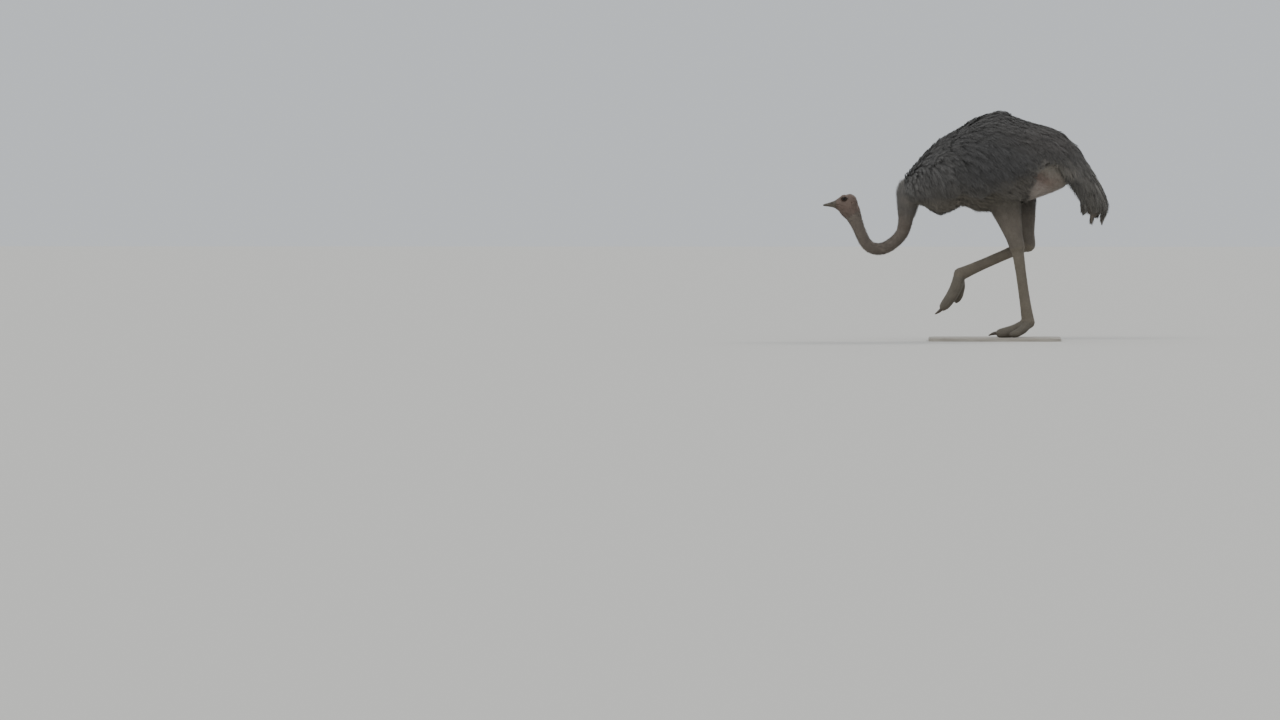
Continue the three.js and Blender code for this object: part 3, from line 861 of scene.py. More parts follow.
def scaleGroup():
    # small many-sided scales with dark lines between them
    group, given, out = nodeGroup(
        "scales",
        [("Size", "NodeSocketFloat", 220.0), ("Stretch", "NodeSocketFloat", 1.0)],
        [("Height", "NodeSocketFloat"), ("Lines", "NodeSocketFloat")],
    )
    stretch = addNode(group, "Mapping")
    factor = addNode(group, "CombineXYZ", X=1.0, Y=1.0)
    cells = addNode(group, "TexVoronoi", {"feature": "DISTANCE_TO_EDGE"})
    domes = addNode(group, "TexVoronoi", {"feature": "F1"})
    edge = addNode(group, "MapRange", {"interpolation_type": "SMOOTHSTEP"}, From_Max=0.11)
    wire(
        group,
        (given.outputs["Stretch"], factor.inputs[2]),
        (factor.outputs[0], stretch.inputs["Scale"]),
        (objectPlace(group), stretch.inputs["Vector"]),
        (stretch.outputs[0], cells.inputs["Vector"]),
        (stretch.outputs[0], domes.inputs["Vector"]),
        (given.outputs["Size"], cells.inputs["Scale"]),
        (given.outputs["Size"], domes.inputs["Scale"]),
        (cells.outputs["Distance"], edge.inputs["Value"]),
    )
    dome = mathNode(group, "MULTIPLY", domes.outputs["Distance"], -0.5)
    wire(
        group,
        (mathNode(group, "ADD", edge.outputs[0], dome), out.inputs["Height"]),
        (mathNode(group, "SUBTRACT", 1.0, edge.outputs[0]), out.inputs["Lines"]),
    )
    return group


effects = {"plume": plumeGroup(), "mottle": mottleGroup(), "scales": scaleGroup()}


def useEffect(tree, name, **values):
    node = tree.nodes.new("ShaderNodeGroup")
    node.node_tree = effects[name]
    setInputs(node, **values)
    return node


def newMaterial(name, **values):
    material = bpy.data.materials.new(name)
    material.use_nodes = True
    shader = material.node_tree.nodes["Principled BSDF"]
    setInputs(shader, **values)
    return material, material.node_tree, shader


def addBump(tree, shader, height, strength, distance):
    bump = addNode(tree, "Bump", Strength=strength, Distance=distance)
    wire(tree, (height, bump.inputs["Height"]), (bump.outputs[0], shader.inputs["Normal"]))


def plumageMaterial(name, rootDark, tipPale, variation):
    material, tree, shader = newMaterial(
        name, Roughness=0.82, Specular_IOR_Level=0.25, Sheen_Weight=0.12, Sheen_Roughness=0.6
    )
    plume = useEffect(tree, "plume", Root_Dark=rootDark, Tip_Pale=tipPale, Variation=variation)
    wire(tree, (plume.outputs["Color"], shader.inputs["Base Color"]))
    return material


def skinMaterial():
    material, tree, shader = newMaterial("bareSkin", Specular_IOR_Level=0.35)
    scaly = readPoint(tree, "scaly")
    mottle = useEffect(tree, "mottle", Large_Scale=18.0, Small_Scale=150.0, Amount=0.30)
    scales = useEffect(tree, "scales", Size=260.0, Stretch=0.75)
    lines = mathNode(tree, "MULTIPLY", scales.outputs["Lines"], mathNode(tree, "MULTIPLY", scaly, 0.30))
    colour = mixColour(tree, lines, mottle.outputs["Color"], (0.055, 0.045, 0.034, 1.0))
    wrinkles = noiseAt(tree, objectPlace(tree), Scale=420.0, Detail=5.0, Roughness=0.6)
    height = addNode(tree, "Mix", {"data_type": "FLOAT"})
    rough = addNode(tree, "MapRange", To_Min=0.52, To_Max=0.72)
    wire(
        tree,
        (readPoint(tree, "tint", True), mottle.inputs["Color"]),
        (colour, shader.inputs["Base Color"]),
        (scaly, height.inputs[0]),
        (wrinkles, height.inputs[2]),
        (scales.outputs["Height"], height.inputs[3]),
        (mottle.outputs["Height"], rough.inputs["Value"]),
        (rough.outputs[0], shader.inputs["Roughness"]),
    )
    addBump(tree, shader, height.outputs[0], 0.55, 0.0012)
    return material


def hornMaterial(name, light, dark):
    # streaks along the horn, and painted shade: near-black in the nostrils' openings
    material, tree, shader = newMaterial(name, Roughness=0.42)
    place = objectPlace(tree, (0.35, 2.2, 1.0))
    grain = noiseAt(tree, place, Scale=120.0, Detail=5.0, Roughness=0.6)
    mottle = useEffect(tree, "mottle", Large_Scale=40.0, Small_Scale=500.0, Amount=0.2)
    wire(tree, (rampOf(tree, grain, (0.36, dark), (0.66, light)), mottle.inputs["Color"]))
    # painted shade: near-black down in the nostril's slit
    colour = mixColour(tree, readPoint(tree, "hollow"), mottle.outputs["Color"], (0.008, 0.007, 0.006, 1.0))
    wire(tree, (colour, shader.inputs["Base Color"]))
    addBump(tree, shader, grain, 0.3, 0.0006)
    return material


def eyeMaterial():
    # near-black pupil, dark brown iris with fine rays, darker rim
    material, tree, shader = newMaterial("eyeball", Roughness=0.04, Specular_IOR_Level=0.32)
    disc = readPoint(tree, "disc")
    at = addNode(tree, "CombineXYZ")
    wire(tree, (readPoint(tree, "turn"), at.inputs[0]), (mathNode(tree, "MULTIPLY", disc, 0.6), at.inputs[1]))
    rays = noiseAt(tree, at.outputs[0], "Color", Scale=9.0, Detail=4.0, Roughness=0.7)
    pupil, rim = (0.001, 0.001, 0.001), (0.004, 0.003, 0.002)
    inner, outer = (0.050, 0.022, 0.010), (0.034, 0.015, 0.007)
    iris = rampOf(tree, disc, (0.0, pupil), (0.19, pupil), (0.23, inner), (0.40, outer), (0.50, rim))
    wire(tree, (mixColour(tree, 0.55, iris, rays, "MULTIPLY"), shader.inputs["Base Color"]))
    return material


def boardMaterial():
    material, tree, shader = newMaterial("baseBoard", Roughness=0.55)
    place = objectPlace(tree, (0.12, 1.0, 1.0))
    grain = noiseAt(tree, place, Scale=55.0, Detail=6.0, Roughness=0.62, Distortion=0.6)
    colour = rampOf(tree, grain, (0.3, (0.30, 0.275, 0.235)), (0.7, (0.43, 0.40, 0.35)))
    wire(tree, (colour, shader.inputs["Base Color"]))
    addBump(tree, shader, grain, 0.2, 0.0008)
    return material


studio = {
    "middle": -0.165,  # the bird's middle along its length
    "distance": 50.0,  # a long lens from far off
    "lens": 244.6,
    "height": 0.992,
    "lookAt": (-2.0396, 0.0, -0.1120),
    "floorHalf": 60.0,
    "floor": (0.62, 0.61, 0.58, 1),
    "sky": (0.86, 0.90, 0.94, 1),
    "skyStrength": 0.75,
    "lampsLookAt": (0, 0, 0.8),
    "lamps": [  # place each shines from, softness in degrees, strength, colour
        ((-2.0, -3.4, 5.0), 28, 0.9, (1.0, 0.98, 0.95)),
        ((3.4, 3.0, 5.0), 24, 1.0, (1.0, 0.97, 0.93)),
    ],
}


def linkThing(name, data, at=(0, 0, 0), target=None):
    # adds an object to the scene, turned to look at the target
    thing = bpy.data.objects.new(name, data)
    thing.location = at
    if target is not None:
        thing.rotation_euler = (Vector(target) - Vector(at)).to_track_quat("-Z", "Y").to_euler()
    bpy.context.scene.collection.objects.link(thing)
    return thing


def setStage():
    lens = bpy.data.cameras.new("camera")
    lens.sensor_width = 36.0
    lens.lens = studio["lens"]
    lens.clip_start, lens.clip_end = 1.0, 200.0
    at = (studio["middle"], -studio["distance"], studio["height"])
    bpy.context.scene.camera = linkThing("camera", lens, at, studio["lookAt"])

    corners = np.array([(-1, -1, 0), (1, -1, 0), (1, 1, 0), (-1, 1, 0)]) * studio["floorHalf"]
    floor = linkThing("floor", fillMesh("floor", corners, np.array([[0, 1, 2, 3]])))
    floor.data.materials.append(newMaterial("paleFloor", Base_Color=studio["floor"], Roughness=0.9)[0])

    world = bpy.data.worlds.new("studio")
    world.use_nodes = True
    setInputs(world.node_tree.nodes["Background"], Color=studio["sky"], Strength=studio["skyStrength"])
    bpy.context.scene.world = world
    for k, (at, softness, strength, colour) in enumerate(studio["lamps"]):
        lamp = bpy.data.lights.new(f"lamp{k}", "SUN")
        lamp.angle, lamp.energy, lamp.color = math.radians(softness), strength, colour
        linkThing(f"lamp{k}", lamp, at, studio["lampsLookAt"])
    print("stage: camera, lamps and floor")


eyeball = {"rings": 28, "turns": 48, "cornea": 0.035, "corneaWidth": 0.55}


def makeEyes(material):
    rings, turns = eyeball["rings"], eyeball["turns"]
    a = np.repeat(np.linspace(0, math.pi, rings + 1), turns)
    b = np.tile(2 * math.pi * np.arange(turns) / turns, rings + 1)
    bulge = 1 + eyeball["cornea"] * hump(a, 0, eyeball["corneaWidth"])
    ball = np.stack([np.sin(a) * np.cos(b), np.cos(a) * bulge, np.sin(a) * np.sin(b)], 1) * eyeShape
    for node, out in (("eye_left", -1), ("eye_right", 1)):
        co = (eyeAt + ball) * np.array([1, out, 1])
        mesh = fillMesh(node + "_ball", co, gridQuads(rings + 1, turns, closed=True)[:, ::-out])
        paintPoints(mesh, disc=a / (math.pi / 2), turn=3 * np.cos(b))
        mesh.validate()
        addPiece(node + "_ball", mesh, material, [node])
    print("eyes: two glossy balls")


def makeHornPiece(node, material, shape=None):
    mesh = voxelSkin(node + "_horn", [cadSolid(node)], 0.0013)
    if shape is None:
        relax(mesh, 24, keepSize=False)
    relax(mesh, 9)
    if shape is not None:
        moved, hollow = shape(coordsOf(mesh), normalsOf(mesh))
        putCoords(mesh, moved)
        # painted shade of a nostril, where the shape gives one
        paintPoints(mesh, hollow=hollow)
    addPiece(node + "_horn", mesh, material, [node])
    print("horn:", node)


def shapeUpperBill(co, normals):
    # a low ridge on top, a slit of a nostril with a rim, and a nail that stands a little proud
    forward, side, up = headPlace(co)
    move = 0.0009 * hump(side, 0, 0.004) * ease(0.050, 0.060, forward) * (normals[:, 2] > 0.2)
    nostril = np.hypot((forward - 0.072) / 0.0085, (up + 0.0225) / 0.0021)
    move -= 0.0042 * hump(nostril, 0, 1) * ease(0.006, 0.010, side)
    move += 0.0007 * hump(nostril, 1.7, 0.6) * ease(0.006, 0.010, side)
    move += 0.0009 * ease(0.099, 0.102, forward) * (normals[:, 2] > -0.2)
    move -= 0.0007 * hump(forward, 0.0985, 0.0012) * (normals[:, 2] > -0.2)
    # the second value is the painted shade that blackens the nostril's slit
    return co + normals * move[:, None], np.exp(-((0.95 * nostril) ** 4)) * ease(0.004, 0.008, side)


def shapeLowerBill(co, normals):
    forward, side, _ = headPlace(co)
    move = -0.0008 * hump(forward, 0.094, 0.0013) * (normals[:, 2] < 0.2)
    move -= 0.0006 * hump(side, 0.008, 0.0018) * (1 - ease(0.088, 0.096, forward))
    # a low ridge along its middle meets the upper bill, so that no light shows between them
    ridge = (1 - ease(0.0025, 0.0060, side)) * (1 - ease(0.112, 0.119, forward))
    move += 0.0016 * ridge * ease(0.5, 0.8, normals[:, 2])
    return co + normals * move[:, None], 0 * move


def surfaceOf(mesh):
    # arrays and a search tree for growing feathers on a mesh
    co, tris = coordsOf(mesh), trisOf(mesh)
    tree = BVHTree.FromPolygons(co.tolist(), tris.tolist())
    return {"co": co, "tris": tris, "normals": normalsOf(mesh), "tree": tree}


def nearest(surface, points):
    # nearest place on the surface and its smooth normal
    places = np.empty_like(points)
    faces = np.empty(len(points), np.int64)
    for k, point in enumerate(points.tolist()):
        places[k], _, faces[k], _ = surface["tree"].find_nearest(point)
    corners = surface["tris"][faces]
    gap = np.linalg.norm(surface["co"][corners] - places[:, None], axis=2) + 1e-4
    weight = (1 / gap)[..., None]
    return places, unit((surface["normals"][corners] * weight).sum(1))


def scatter(surface, count, spacing, keep, rng):
    # evenly spaced random places on the surface, where keep says so
    co, tris = surface["co"], surface["tris"]
    area = np.linalg.norm(facing(co, tris), axis=1)
    tries = rng.choice(len(tris), count * 7, p=area / area.sum())
    a, b = rng.random((2, len(tries), 1))
    over = a + b > 1
    a, b = np.where(over, 1 - a, a), np.where(over, 1 - b, b)
    corner = co[tris[tries]]
    places = corner[:, 0] * (1 - a - b) + corner[:, 1] * a + corner[:, 2] * b
    wanted = keep(places)
    places = places[wanted > 0]
    gaps = ((spacing / np.sqrt(wanted[wanted > 0])) ** 2).tolist()
    size = spacing * 2
    around = list(itertools.product((-1, 0, 1), repeat=3))
    cells, chosen = {}, []
    for k, (x, y, z) in enumerate(places.tolist()):
        i, j, l = math.floor(x / size), math.floor(y / size), math.floor(z / size)
        near = (other for p, q, r in around for other in cells.get((i + p, j + q, l + r), ()))
        if all((px - x) ** 2 + (py - y) ** 2 + (pz - z) ** 2 >= gaps[k] for px, py, pz in near):
            cells.setdefault((i, j, l), []).append((x, y, z))
            chosen.append(k)
            if len(chosen) == count:
                break
    return places[chosen]


tailLine = np.array([  # middle of the tail from its root to its tip, X and Z
    (0.300, 1.112), (0.367, 1.090), (0.434, 1.015), (0.482, 0.950),
    (0.521, 0.892), (0.568, 0.795), (0.578, 0.739), (0.566, 0.690),
])
lies = {  # the way the feathers lie: backwards, outwards and upwards
    "breast": (0.56, 0.08, -0.78),
    "side": (0.88, 0.10, -0.50),
    "back": (0.97, 0.22, 0.06),
    "rump": (0.62, 0.10, -0.80),
}


def gapsTo(line, points):
    # distance of each point from each place of a line in X and Z
    return np.hypot(points[:, None, 0] - line[None, :, 0], points[:, None, 2] - line[None, :, 1])


def lieOf(points, up):
    x, y, _ = points.T
    outward = np.clip(y / 0.12, -1, 1)
    sides = np.stack([np.ones(len(points)), outward, np.ones(len(points))], 1)
    way = toward(sides * lies["breast"], sides * lies["side"], ease(-0.50, -0.10, x))
    way = toward(way, sides * lies["back"], ease(0.05, 0.75, up[:, 2]))
    way = toward(way, sides * lies["rump"], ease(0.22, 0.44, x))
    along = np.diff(tailLine, axis=0)[gapsTo(tailLine[:-1], points).argmin(1)]
    tailWay = np.stack([along[:, 0], outward * 0.012, along[:, 1]], 1)
    return unit(toward(unit(way), unit(tailWay), ease(0.36, 0.46, x)))


def growShafts(surface, roots, kind, lengths, depths, turn, under):
    # marches each shaft outward from the skin to the coat's surface along the lie, and
    # tells at which share of its length it meets an edge of the plumage
    steps = kind["steps"]
    place, up = nearest(surface, roots)
    way = lieOf(place, up)
    way = unit(way - up * (way * up).sum(1, keepdims=True))
    way = unit(way + np.cross(up, way) * turn)
    depths = depths * thinBelow(up)
    loft = kind["loft"] * np.minimum(lengths / kind["length"][1], 1)
    shafts, ups = [place - up * depths[:, None]], [up]
    reach = np.ones(len(roots))
    for step in range(1, steps + 1):
        t = step / steps
        goal = lieOf(shafts[-1], up) + np.array([0, 0, -kind["droop"] * t])
        goal = unit(goal + np.cross(up, way) * turn * 0.5)
        way = unit(0.62 * way + 0.38 * goal)
        ahead = shafts[-1] + way * (lengths / steps)[:, None]
        near, up = nearest(surface, ahead)
        height = ((ahead - near) * up).sum(1)
        below = ease(0.05, 0.55, -up[:, 2])
        rest = -depths * (1 - t) ** 1.25 - under * (1 - 0.6 * t)
        free = rest + (kind["hang"] - rest) * ease(0.05, 0.6, -up[:, 2]) * ease(0.2, 0.7, t)
        free = np.maximum(free, loft * t**2 * (1 - below) + rest) - 0.012 * below * t
        rest = np.minimum(rest, free)
        atEdge = (height > free + 0.012) & (below > 0.2)
        if "colour" not in kind:
            atEdge |= noPlumes(near) > 0.25 + 0.60 * under / kind["under"]
        if "tipLine" in kind:  # the tail's plumes end along this line of X and Z
            atEdge |= near[:, 2] < np.interp(near[:, 0], *np.array(kind["tipLine"]).T)
        reach = np.where(atEdge, np.minimum(reach, t - 0.5 / steps), reach)
        shafts.append(near + up * np.clip(height, rest, free)[:, None])
        ups.append(up)
    shafts, ups = np.stack(shafts, 1), np.stack(ups, 1)
    for _ in range(2):  # takes the kinks out
        shafts[:, 1:-1] = 0.5 * shafts[:, 1:-1] + 0.25 * (shafts[:, :-2] + shafts[:, 2:])
    return shafts, ups, reach


def alongShaft(values, t):
    # values at share t of each shaft; t is plumes by samples
    steps = values.shape[1] - 1
    at = np.clip(t * steps, 0, steps - 1e-6)
    k = at.astype(int)
    share = (at - k)[..., None]
    rows = np.arange(len(values))[:, None]
    return values[rows, k] * (1 - share) + values[rows, k + 1] * share


def bladeMesh(base, mid, tip, flat, narrowed):
    # narrow blades of three triangles: two points at the root, two in the middle, one at the tip
    grid = np.stack([base - flat, base + flat, mid - narrowed * flat, mid + narrowed * flat, tip], 2)
    ids = np.arange(grid.size // 3).reshape(-1, 5)
    return grid, np.concatenate([ids[:, pick] for pick in ([0, 1, 2], [1, 3, 2], [2, 3, 4])])


def layUnwrap(mesh, uvs):
    corners = pull(mesh.loops, "vertex_index", 1)[:, 0]
    layer = mesh.uv_layers.new(name="OFBake")
    layer.data.foreach_set("uv", uvs[corners].astype(np.float32).ravel())


patchSize = 0.0026  # how large one plume or tuft is on the unwrap


def featherMesh(name, shafts, ups, widths, tint, uv, kind, rng):
    # every plume: an arched vane along a shaft, and a fringe of loose barbs
    count = len(shafts)
    ways = unit(np.gradient(shafts, axis=1))
    twist = rng.normal(0, kind["twist"], (count, 1, 1))
    sides = unit(np.cross(ups, ways))
    sides = unit(sides + ups * twist)
    lifts = unit(np.cross(ways, sides))
    tone = rng.random(count)

    def widthAt(t):
        return (0.30 + 0.70 * ease(0, 0.40, t)) * (1 - 0.55 * ease(0.72, 1.0, t))

    def halfAt(t):
        taper = 1 - kind["taper"] * ease(0.60, 1.0, t)
        return widths[:, None] * kind["vaneShare"] * widthAt(t) * taper

    # vane: three rows of points along the shaft
    n = kind["vaneSteps"]
    t = np.tile(np.linspace(0.04, 1, n + 1), (count, 1))
    middle, side, lift = (alongShaft(v, t) for v in (shafts, sides, lifts))
    half = halfAt(t)
    wave = 1 + 0.28 * np.sin(t * (9 + 5 * tone[:, None]) + tone[:, None] * 40)
    rows = []
    for s in (-1, 0, 1):
        edge = s * half * (wave if s else 1)
        drop = kind["arch"] * half * abs(s) - 0.001 * (s == 0)
        rows.append(middle + side * edge[..., None] - lift * drop[..., None])
    grid = np.stack(rows, 2)  # plumes, along, across
    ids = np.arange(count * (n + 1) * 3).reshape(count, n + 1, 3)
    a, b, c, d = ids[:, :-1, :-1], ids[:, :-1, 1:], ids[:, 1:, 1:], ids[:, 1:, :-1]
    tris = np.concatenate([np.stack(three, -1).reshape(-1, 3) for three in ([a, b, c], [a, c, d])])
    parts = [(grid, tris, t, np.zeros(3), np.array([1.0, 0.0, 1.0]))]

    # fringe: thin tapering barbs from the vane's edges
    barbs = kind["barbs"]
    for s in (-1, 1):
        t = 0.10 + 0.90 * (np.arange(barbs) + rng.random((count, barbs))) / barbs
        t = 1 - (1 - t) ** 1.12
        middle, side, lift, way = (alongShaft(v, t) for v in (shafts, sides, lifts, ways))
        root = 0.7 * halfAt(t)
        base = middle + side * (s * root)[..., None] - lift * (kind["arch"] * root)[..., None]
        lean = (kind["lean"][0] * (1 - t) + kind["lean"][1] * t) * rng.uniform(0.7, 1.3, t.shape)
        rise = rng.normal(0, kind["frizz"], t.shape)
        out = way * np.cos(lean)[..., None] + side * (s * np.sin(lean))[..., None] + lift * rise[..., None]
        out = unit(out)
        length = widths[:, None] * widthAt(t) * rng.uniform(0.55, 1.25, t.shape) * kind["barbLength"]
        sag = np.array([0, 0, -1.0]) * (kind["sag"] * length)[..., None]
        bend = unit(out * 0.55 + way * 0.45)
        mid = base + out * (0.5 * length)[..., None] + sag * 0.22
        tip = mid + bend * (0.52 * length)[..., None] + sag * 0.62
        roll = rng.normal(0, 0.45, t.shape)[..., None]
        flat = unit(np.cross(lift, out) + lift * roll)
        flat = flat * (kind["barbWidth"] * rng.uniform(0.7, 1.3, t.shape))[..., None]
        further, across = np.array([0, 0, 0.05, 0.05, 0.1]), np.array([0.5, 0.5, 1.0, 1.0, 1.5])
        parts.append((*bladeMesh(base, mid, tip, flat, 0.75), t, further, across))

    layers = {"tone": [], "along": [], "edge": [], "tint": []}
    uvs = []
    for grid, _, t, further, across in parts:
        each = grid.shape[1] * grid.shape[2]
        lengthwise = (t[..., None] + further).reshape(-1)
        edge = np.tile(across, count * grid.shape[1])
        jitter = rng.normal(0, 0.035, (count, grid.shape[1], 1)) * np.ones(grid.shape[2])
        layers["tone"].append(np.clip(np.repeat(tone, each) + jitter.reshape(-1), 0, 1))
        layers["along"].append(np.clip(lengthwise, 0, 1.1))
        layers["edge"].append(edge)
        layers["tint"].append(np.repeat(tint, each, axis=0))
        patch = np.stack([lengthwise - 0.5, edge - 0.75], 1) * patchSize
        uvs.append(np.repeat(uv, each, axis=0) + patch)
    mesh = fillMesh(name, *joined([(grid.reshape(-1, 3), tris) for grid, tris, _, _, _ in parts]))
    paintPoints(mesh, **{label: np.concatenate(values) for label, values in layers.items()})
    layUnwrap(mesh, np.concatenate(uvs))
    return mesh


patches = {"body": (0.01, 0.70), "neck": (0.72, 0.88), "head": (0.90, 0.99)}  # their parts of the unwrap


def onPatch(patch, length, turn):
    left, right = patches[patch]
    return np.stack([left + (right - left) * np.clip(length, 0, 1), 0.01 + 0.98 * turn], 1)


def unwrapBody(points):
    # unrolls the trunk and tail round their long axis
    line = np.interp(points[:, 0], [-0.5, 0.0, 0.3, 0.60], [0.98, 1.02, 1.05, 0.72])
    turn = np.arctan2(points[:, 1], points[:, 2] - line) / (2 * math.pi) + 0.5
    return onPatch("body", (points[:, 0] + 0.60) / 1.30, turn)


def unwrapAlong(points, line, patch):
    # unrolls a neck or a head round a line of places, X and Z
    k = np.clip(gapsTo(line, points).argmin(1), 1, len(line) - 2)
    run = unit(line[k + 1] - line[k - 1])
    off = points[:, [0, 2]] - line[k]
    length = (k + (off * run).sum(1) / np.linalg.norm(line[k + 1] - line[k], axis=1)) / (len(line) - 1)
    turn = np.arctan2(points[:, 1], off[:, 0] * run[:, 1] - off[:, 1] * run[:, 0]) / (2 * math.pi) + 0.5
    return onPatch(patch, length, turn)


def coatForm():
    # the outer form that the plumes lie on
    mesh = voxelSkin("coatForm", [cadSolid(node, 0.004) for node in bodyNodes + ["tail"]], 0.009)
    relax(mesh, 3)
    surface = surfaceOf(mesh)
    print("plumage: its outer form has", len(mesh.polygons), "faces")
    bpy.data.meshes.remove(mesh)
    return surface


bodyPlumes = {
    "count": 3000, "spacing": 0.0185, "seed": 11, "steps": 9, "vaneSteps": 7, "barbs": 54,
    "length": (0.110, 0.165, 0.185), "width": 0.031, "depth": 0.95, "under": 0.010,
    "stray": 0.13, "twist": 0.13, "droop": 0.35, "hang": 0.004, "loft": 0.006,
    "vaneShare": 0.14, "taper": 0.86, "arch": 0.42, "lean": (0.74, 0.24), "frizz": 0.16,
    "barbLength": 1.30, "barbWidth": 0.00098, "sag": 0.36,
}
wingPlumes = {
    "count": 330, "spacing": 0.0225, "seed": 12, "steps": 12, "vaneSteps": 11, "barbs": 84,
    "length": (0.22, 0.34, 0.30), "width": 0.048, "depth": 0.80, "under": 0.004,
    "stray": 0.12, "twist": 0.12, "droop": 0.55, "hang": 0.004, "loft": 0.005,
    "vaneShare": 0.20, "taper": 0.86, "arch": 0.40, "lean": (0.72, 0.24), "frizz": 0.14,
    "barbLength": 1.20, "barbWidth": 0.00102, "sag": 0.34,
}
tailPlumes = {
    "count": 340, "spacing": 0.0150, "seed": 13, "steps": 12, "vaneSteps": 11, "barbs": 70,
    "tipLine": (
        (0.44, 0.88), (0.49, 0.80), (0.515, 0.700), (0.545, 0.674), (0.575, 0.670),
        (0.60, 0.682), (0.64, 0.716), (0.66, 0.78),
    ),
    "length": (0.30, 0.30, 0.30), "width": 0.040, "depth": 1.15, "under": 0.008,
    "stray": 0.10, "twist": 0.2, "droop": 0.4, "hang": 0.004, "loft": 0.004,
    "vaneShare": 0.24, "taper": 0.55, "arch": 0.40, "lean": (0.66, 0.20), "frizz": 0.12,
    "barbLength": 1.15, "barbWidth": 0.00098, "sag": 0.35,
}
flankPlumes = {
    "count": 420, "spacing": 0.0095, "seed": 14, "steps": 6, "vaneSteps": 4, "barbs": 26,
    "length": (0.06, 0.06, 0.06), "width": 0.017, "depth": 0.10, "under": 0.001,
    "stray": 0.25, "twist": 0.20, "droop": 0.6, "hang": 0.012, "loft": 0.003,
    "vaneShare": 0.25, "taper": 0.86, "arch": 0.35, "lean": (0.80, 0.25), "frizz": 0.18,
    "barbLength": 1.3, "barbWidth": 0.00080, "sag": 0.30, "colour": (0.235, 0.205, 0.165),
}


def growPlumes(name, surface, kind, keep, material, splits=None):
    rng = np.random.default_rng(kind["seed"])
    roots = scatter(surface, kind["count"], kind["spacing"], keep, rng)
    front, middle, rear = kind["length"]
    lengths = np.interp(roots[:, 0], [-0.5, -0.15, 0.35], [front, middle, rear])
    lengths = lengths * (0.42 + 0.58 * ease(0.06, 0.19, fromNeckRoot(roots)))
    lengths = lengths * rng.uniform(0.85, 1.15, len(roots))
    depths = kind["depth"] * coatDepth(roots)
    turn = rng.normal(0, kind["stray"], (len(roots), 1))
    under = rng.random(len(roots)) * kind["under"]
    reach = growShafts(surface, roots, kind, lengths, depths, turn, under)[2]
    lengths = lengths * np.maximum(reach, 0.28) * rng.uniform(0.9, 1.1, len(roots))
    widths = kind["width"] * np.clip(lengths / middle, 0.45, 1.3) * rng.uniform(0.85, 1.15, len(roots))
    shafts, ups, _ = growShafts(surface, roots, kind, lengths, depths, turn, under)
    tint = plumageColour(roots * 0.35 + shafts[:, -1] * 0.65)
    if "colour" in kind:
        mixed = rng.uniform(0.35, 1.0, len(roots)) * (1 - 0.9 * ease(0.985, 1.025, roots[:, 2]))
        tint = toward(tint, kind["colour"], mixed)
    uv = unwrapBody(roots)
    total = 0
    for label, chosen in (splits or {"": lambda p: np.ones(len(p), bool)}).items():
        pick = chosen(roots)
        own = (values[pick] for values in (shafts, ups, widths, tint, uv))
        mesh = featherMesh(name + label, *own, kind, rng)
        addPiece(name + label, mesh, material)
        total += len(mesh.polygons)
    print("plumage:", len(roots), name, "of", total, "triangles")


def growPlumage(bareSurface):
    surface = coatForm()

    def onBody(points):
        clear = (farFrom(["neck_base"], points) >= 0.004) & (farFrom(thighNodes, points) >= 0.004)
        clear = clear & (noPlumes(points) < 0.35) & (points[:, 0] < 0.47)
        closer = 1 + 1.6 * (1 - ease(-0.45, -0.20, points[:, 0]))  # more and smaller towards the breast
        line = np.interp(points[:, 0], [-0.45, 0.0, 0.4], [0.99, 1.23, 1.20])
        closer += 0.9 * ease(-0.03, 0.03, points[:, 2] - line)  # and along the back
        return clear * closer

    def onWing(points):
        near = farFrom(["wing_left", "wing_right"], points) < 0.012
        return (near & (points[:, 2] > 1.0) & (noPlumes(points) < 0.2)).astype(float)

    def onRump(points):
        return ((points[:, 0] > 0.37) & (points[:, 2] > 0.775) & (noPlumes(points) < 0.3)).astype(float)

    def onFlank(points):
        edge = ease(0.05, 0.3, noPlumes(points)) * ease(0.985, 1.010, points[:, 2])
        return np.where(abs(points[:, 1]) > 0.06, edge, 0)

    body = plumageMaterial("bodyPlumage", 0.84, 1.26, 0.32)
    wing = plumageMaterial("wingPlumage", 0.82, 1.22, 0.32)
    tail = plumageMaterial("tailPlumage", 0.72, 1.30, 0.42)
    growPlumes("plumes_body", surface, bodyPlumes, onBody, body, {
        "_breast_left": lambda p: (p[:, 0] < -0.25) & (p[:, 1] < 0),
        "_breast_right": lambda p: (p[:, 0] < -0.25) & (p[:, 1] >= 0),
        "_back": lambda p: (p[:, 0] >= -0.25) & (abs(p[:, 1]) <= 0.08),
        "_left": lambda p: (p[:, 0] >= -0.25) & (p[:, 0] < 0.08) & (p[:, 1] < -0.08),
        "_right": lambda p: (p[:, 0] >= -0.25) & (p[:, 0] < 0.08) & (p[:, 1] > 0.08),
        "_rump_left": lambda p: (p[:, 0] >= 0.08) & (p[:, 1] < -0.08),
        "_rump_right": lambda p: (p[:, 0] >= 0.08) & (p[:, 1] > 0.08),
    })
    growPlumes("plumes_wing", surface, wingPlumes, onWing, wing, {
        "_left": lambda p: p[:, 1] < 0,
        "_right": lambda p: p[:, 1] >= 0,
    })
    growPlumes("plumes_tail", surface, tailPlumes, onRump, tail)
    growPlumes("plumes_flank", bareSurface, flankPlumes, onFlank, body)


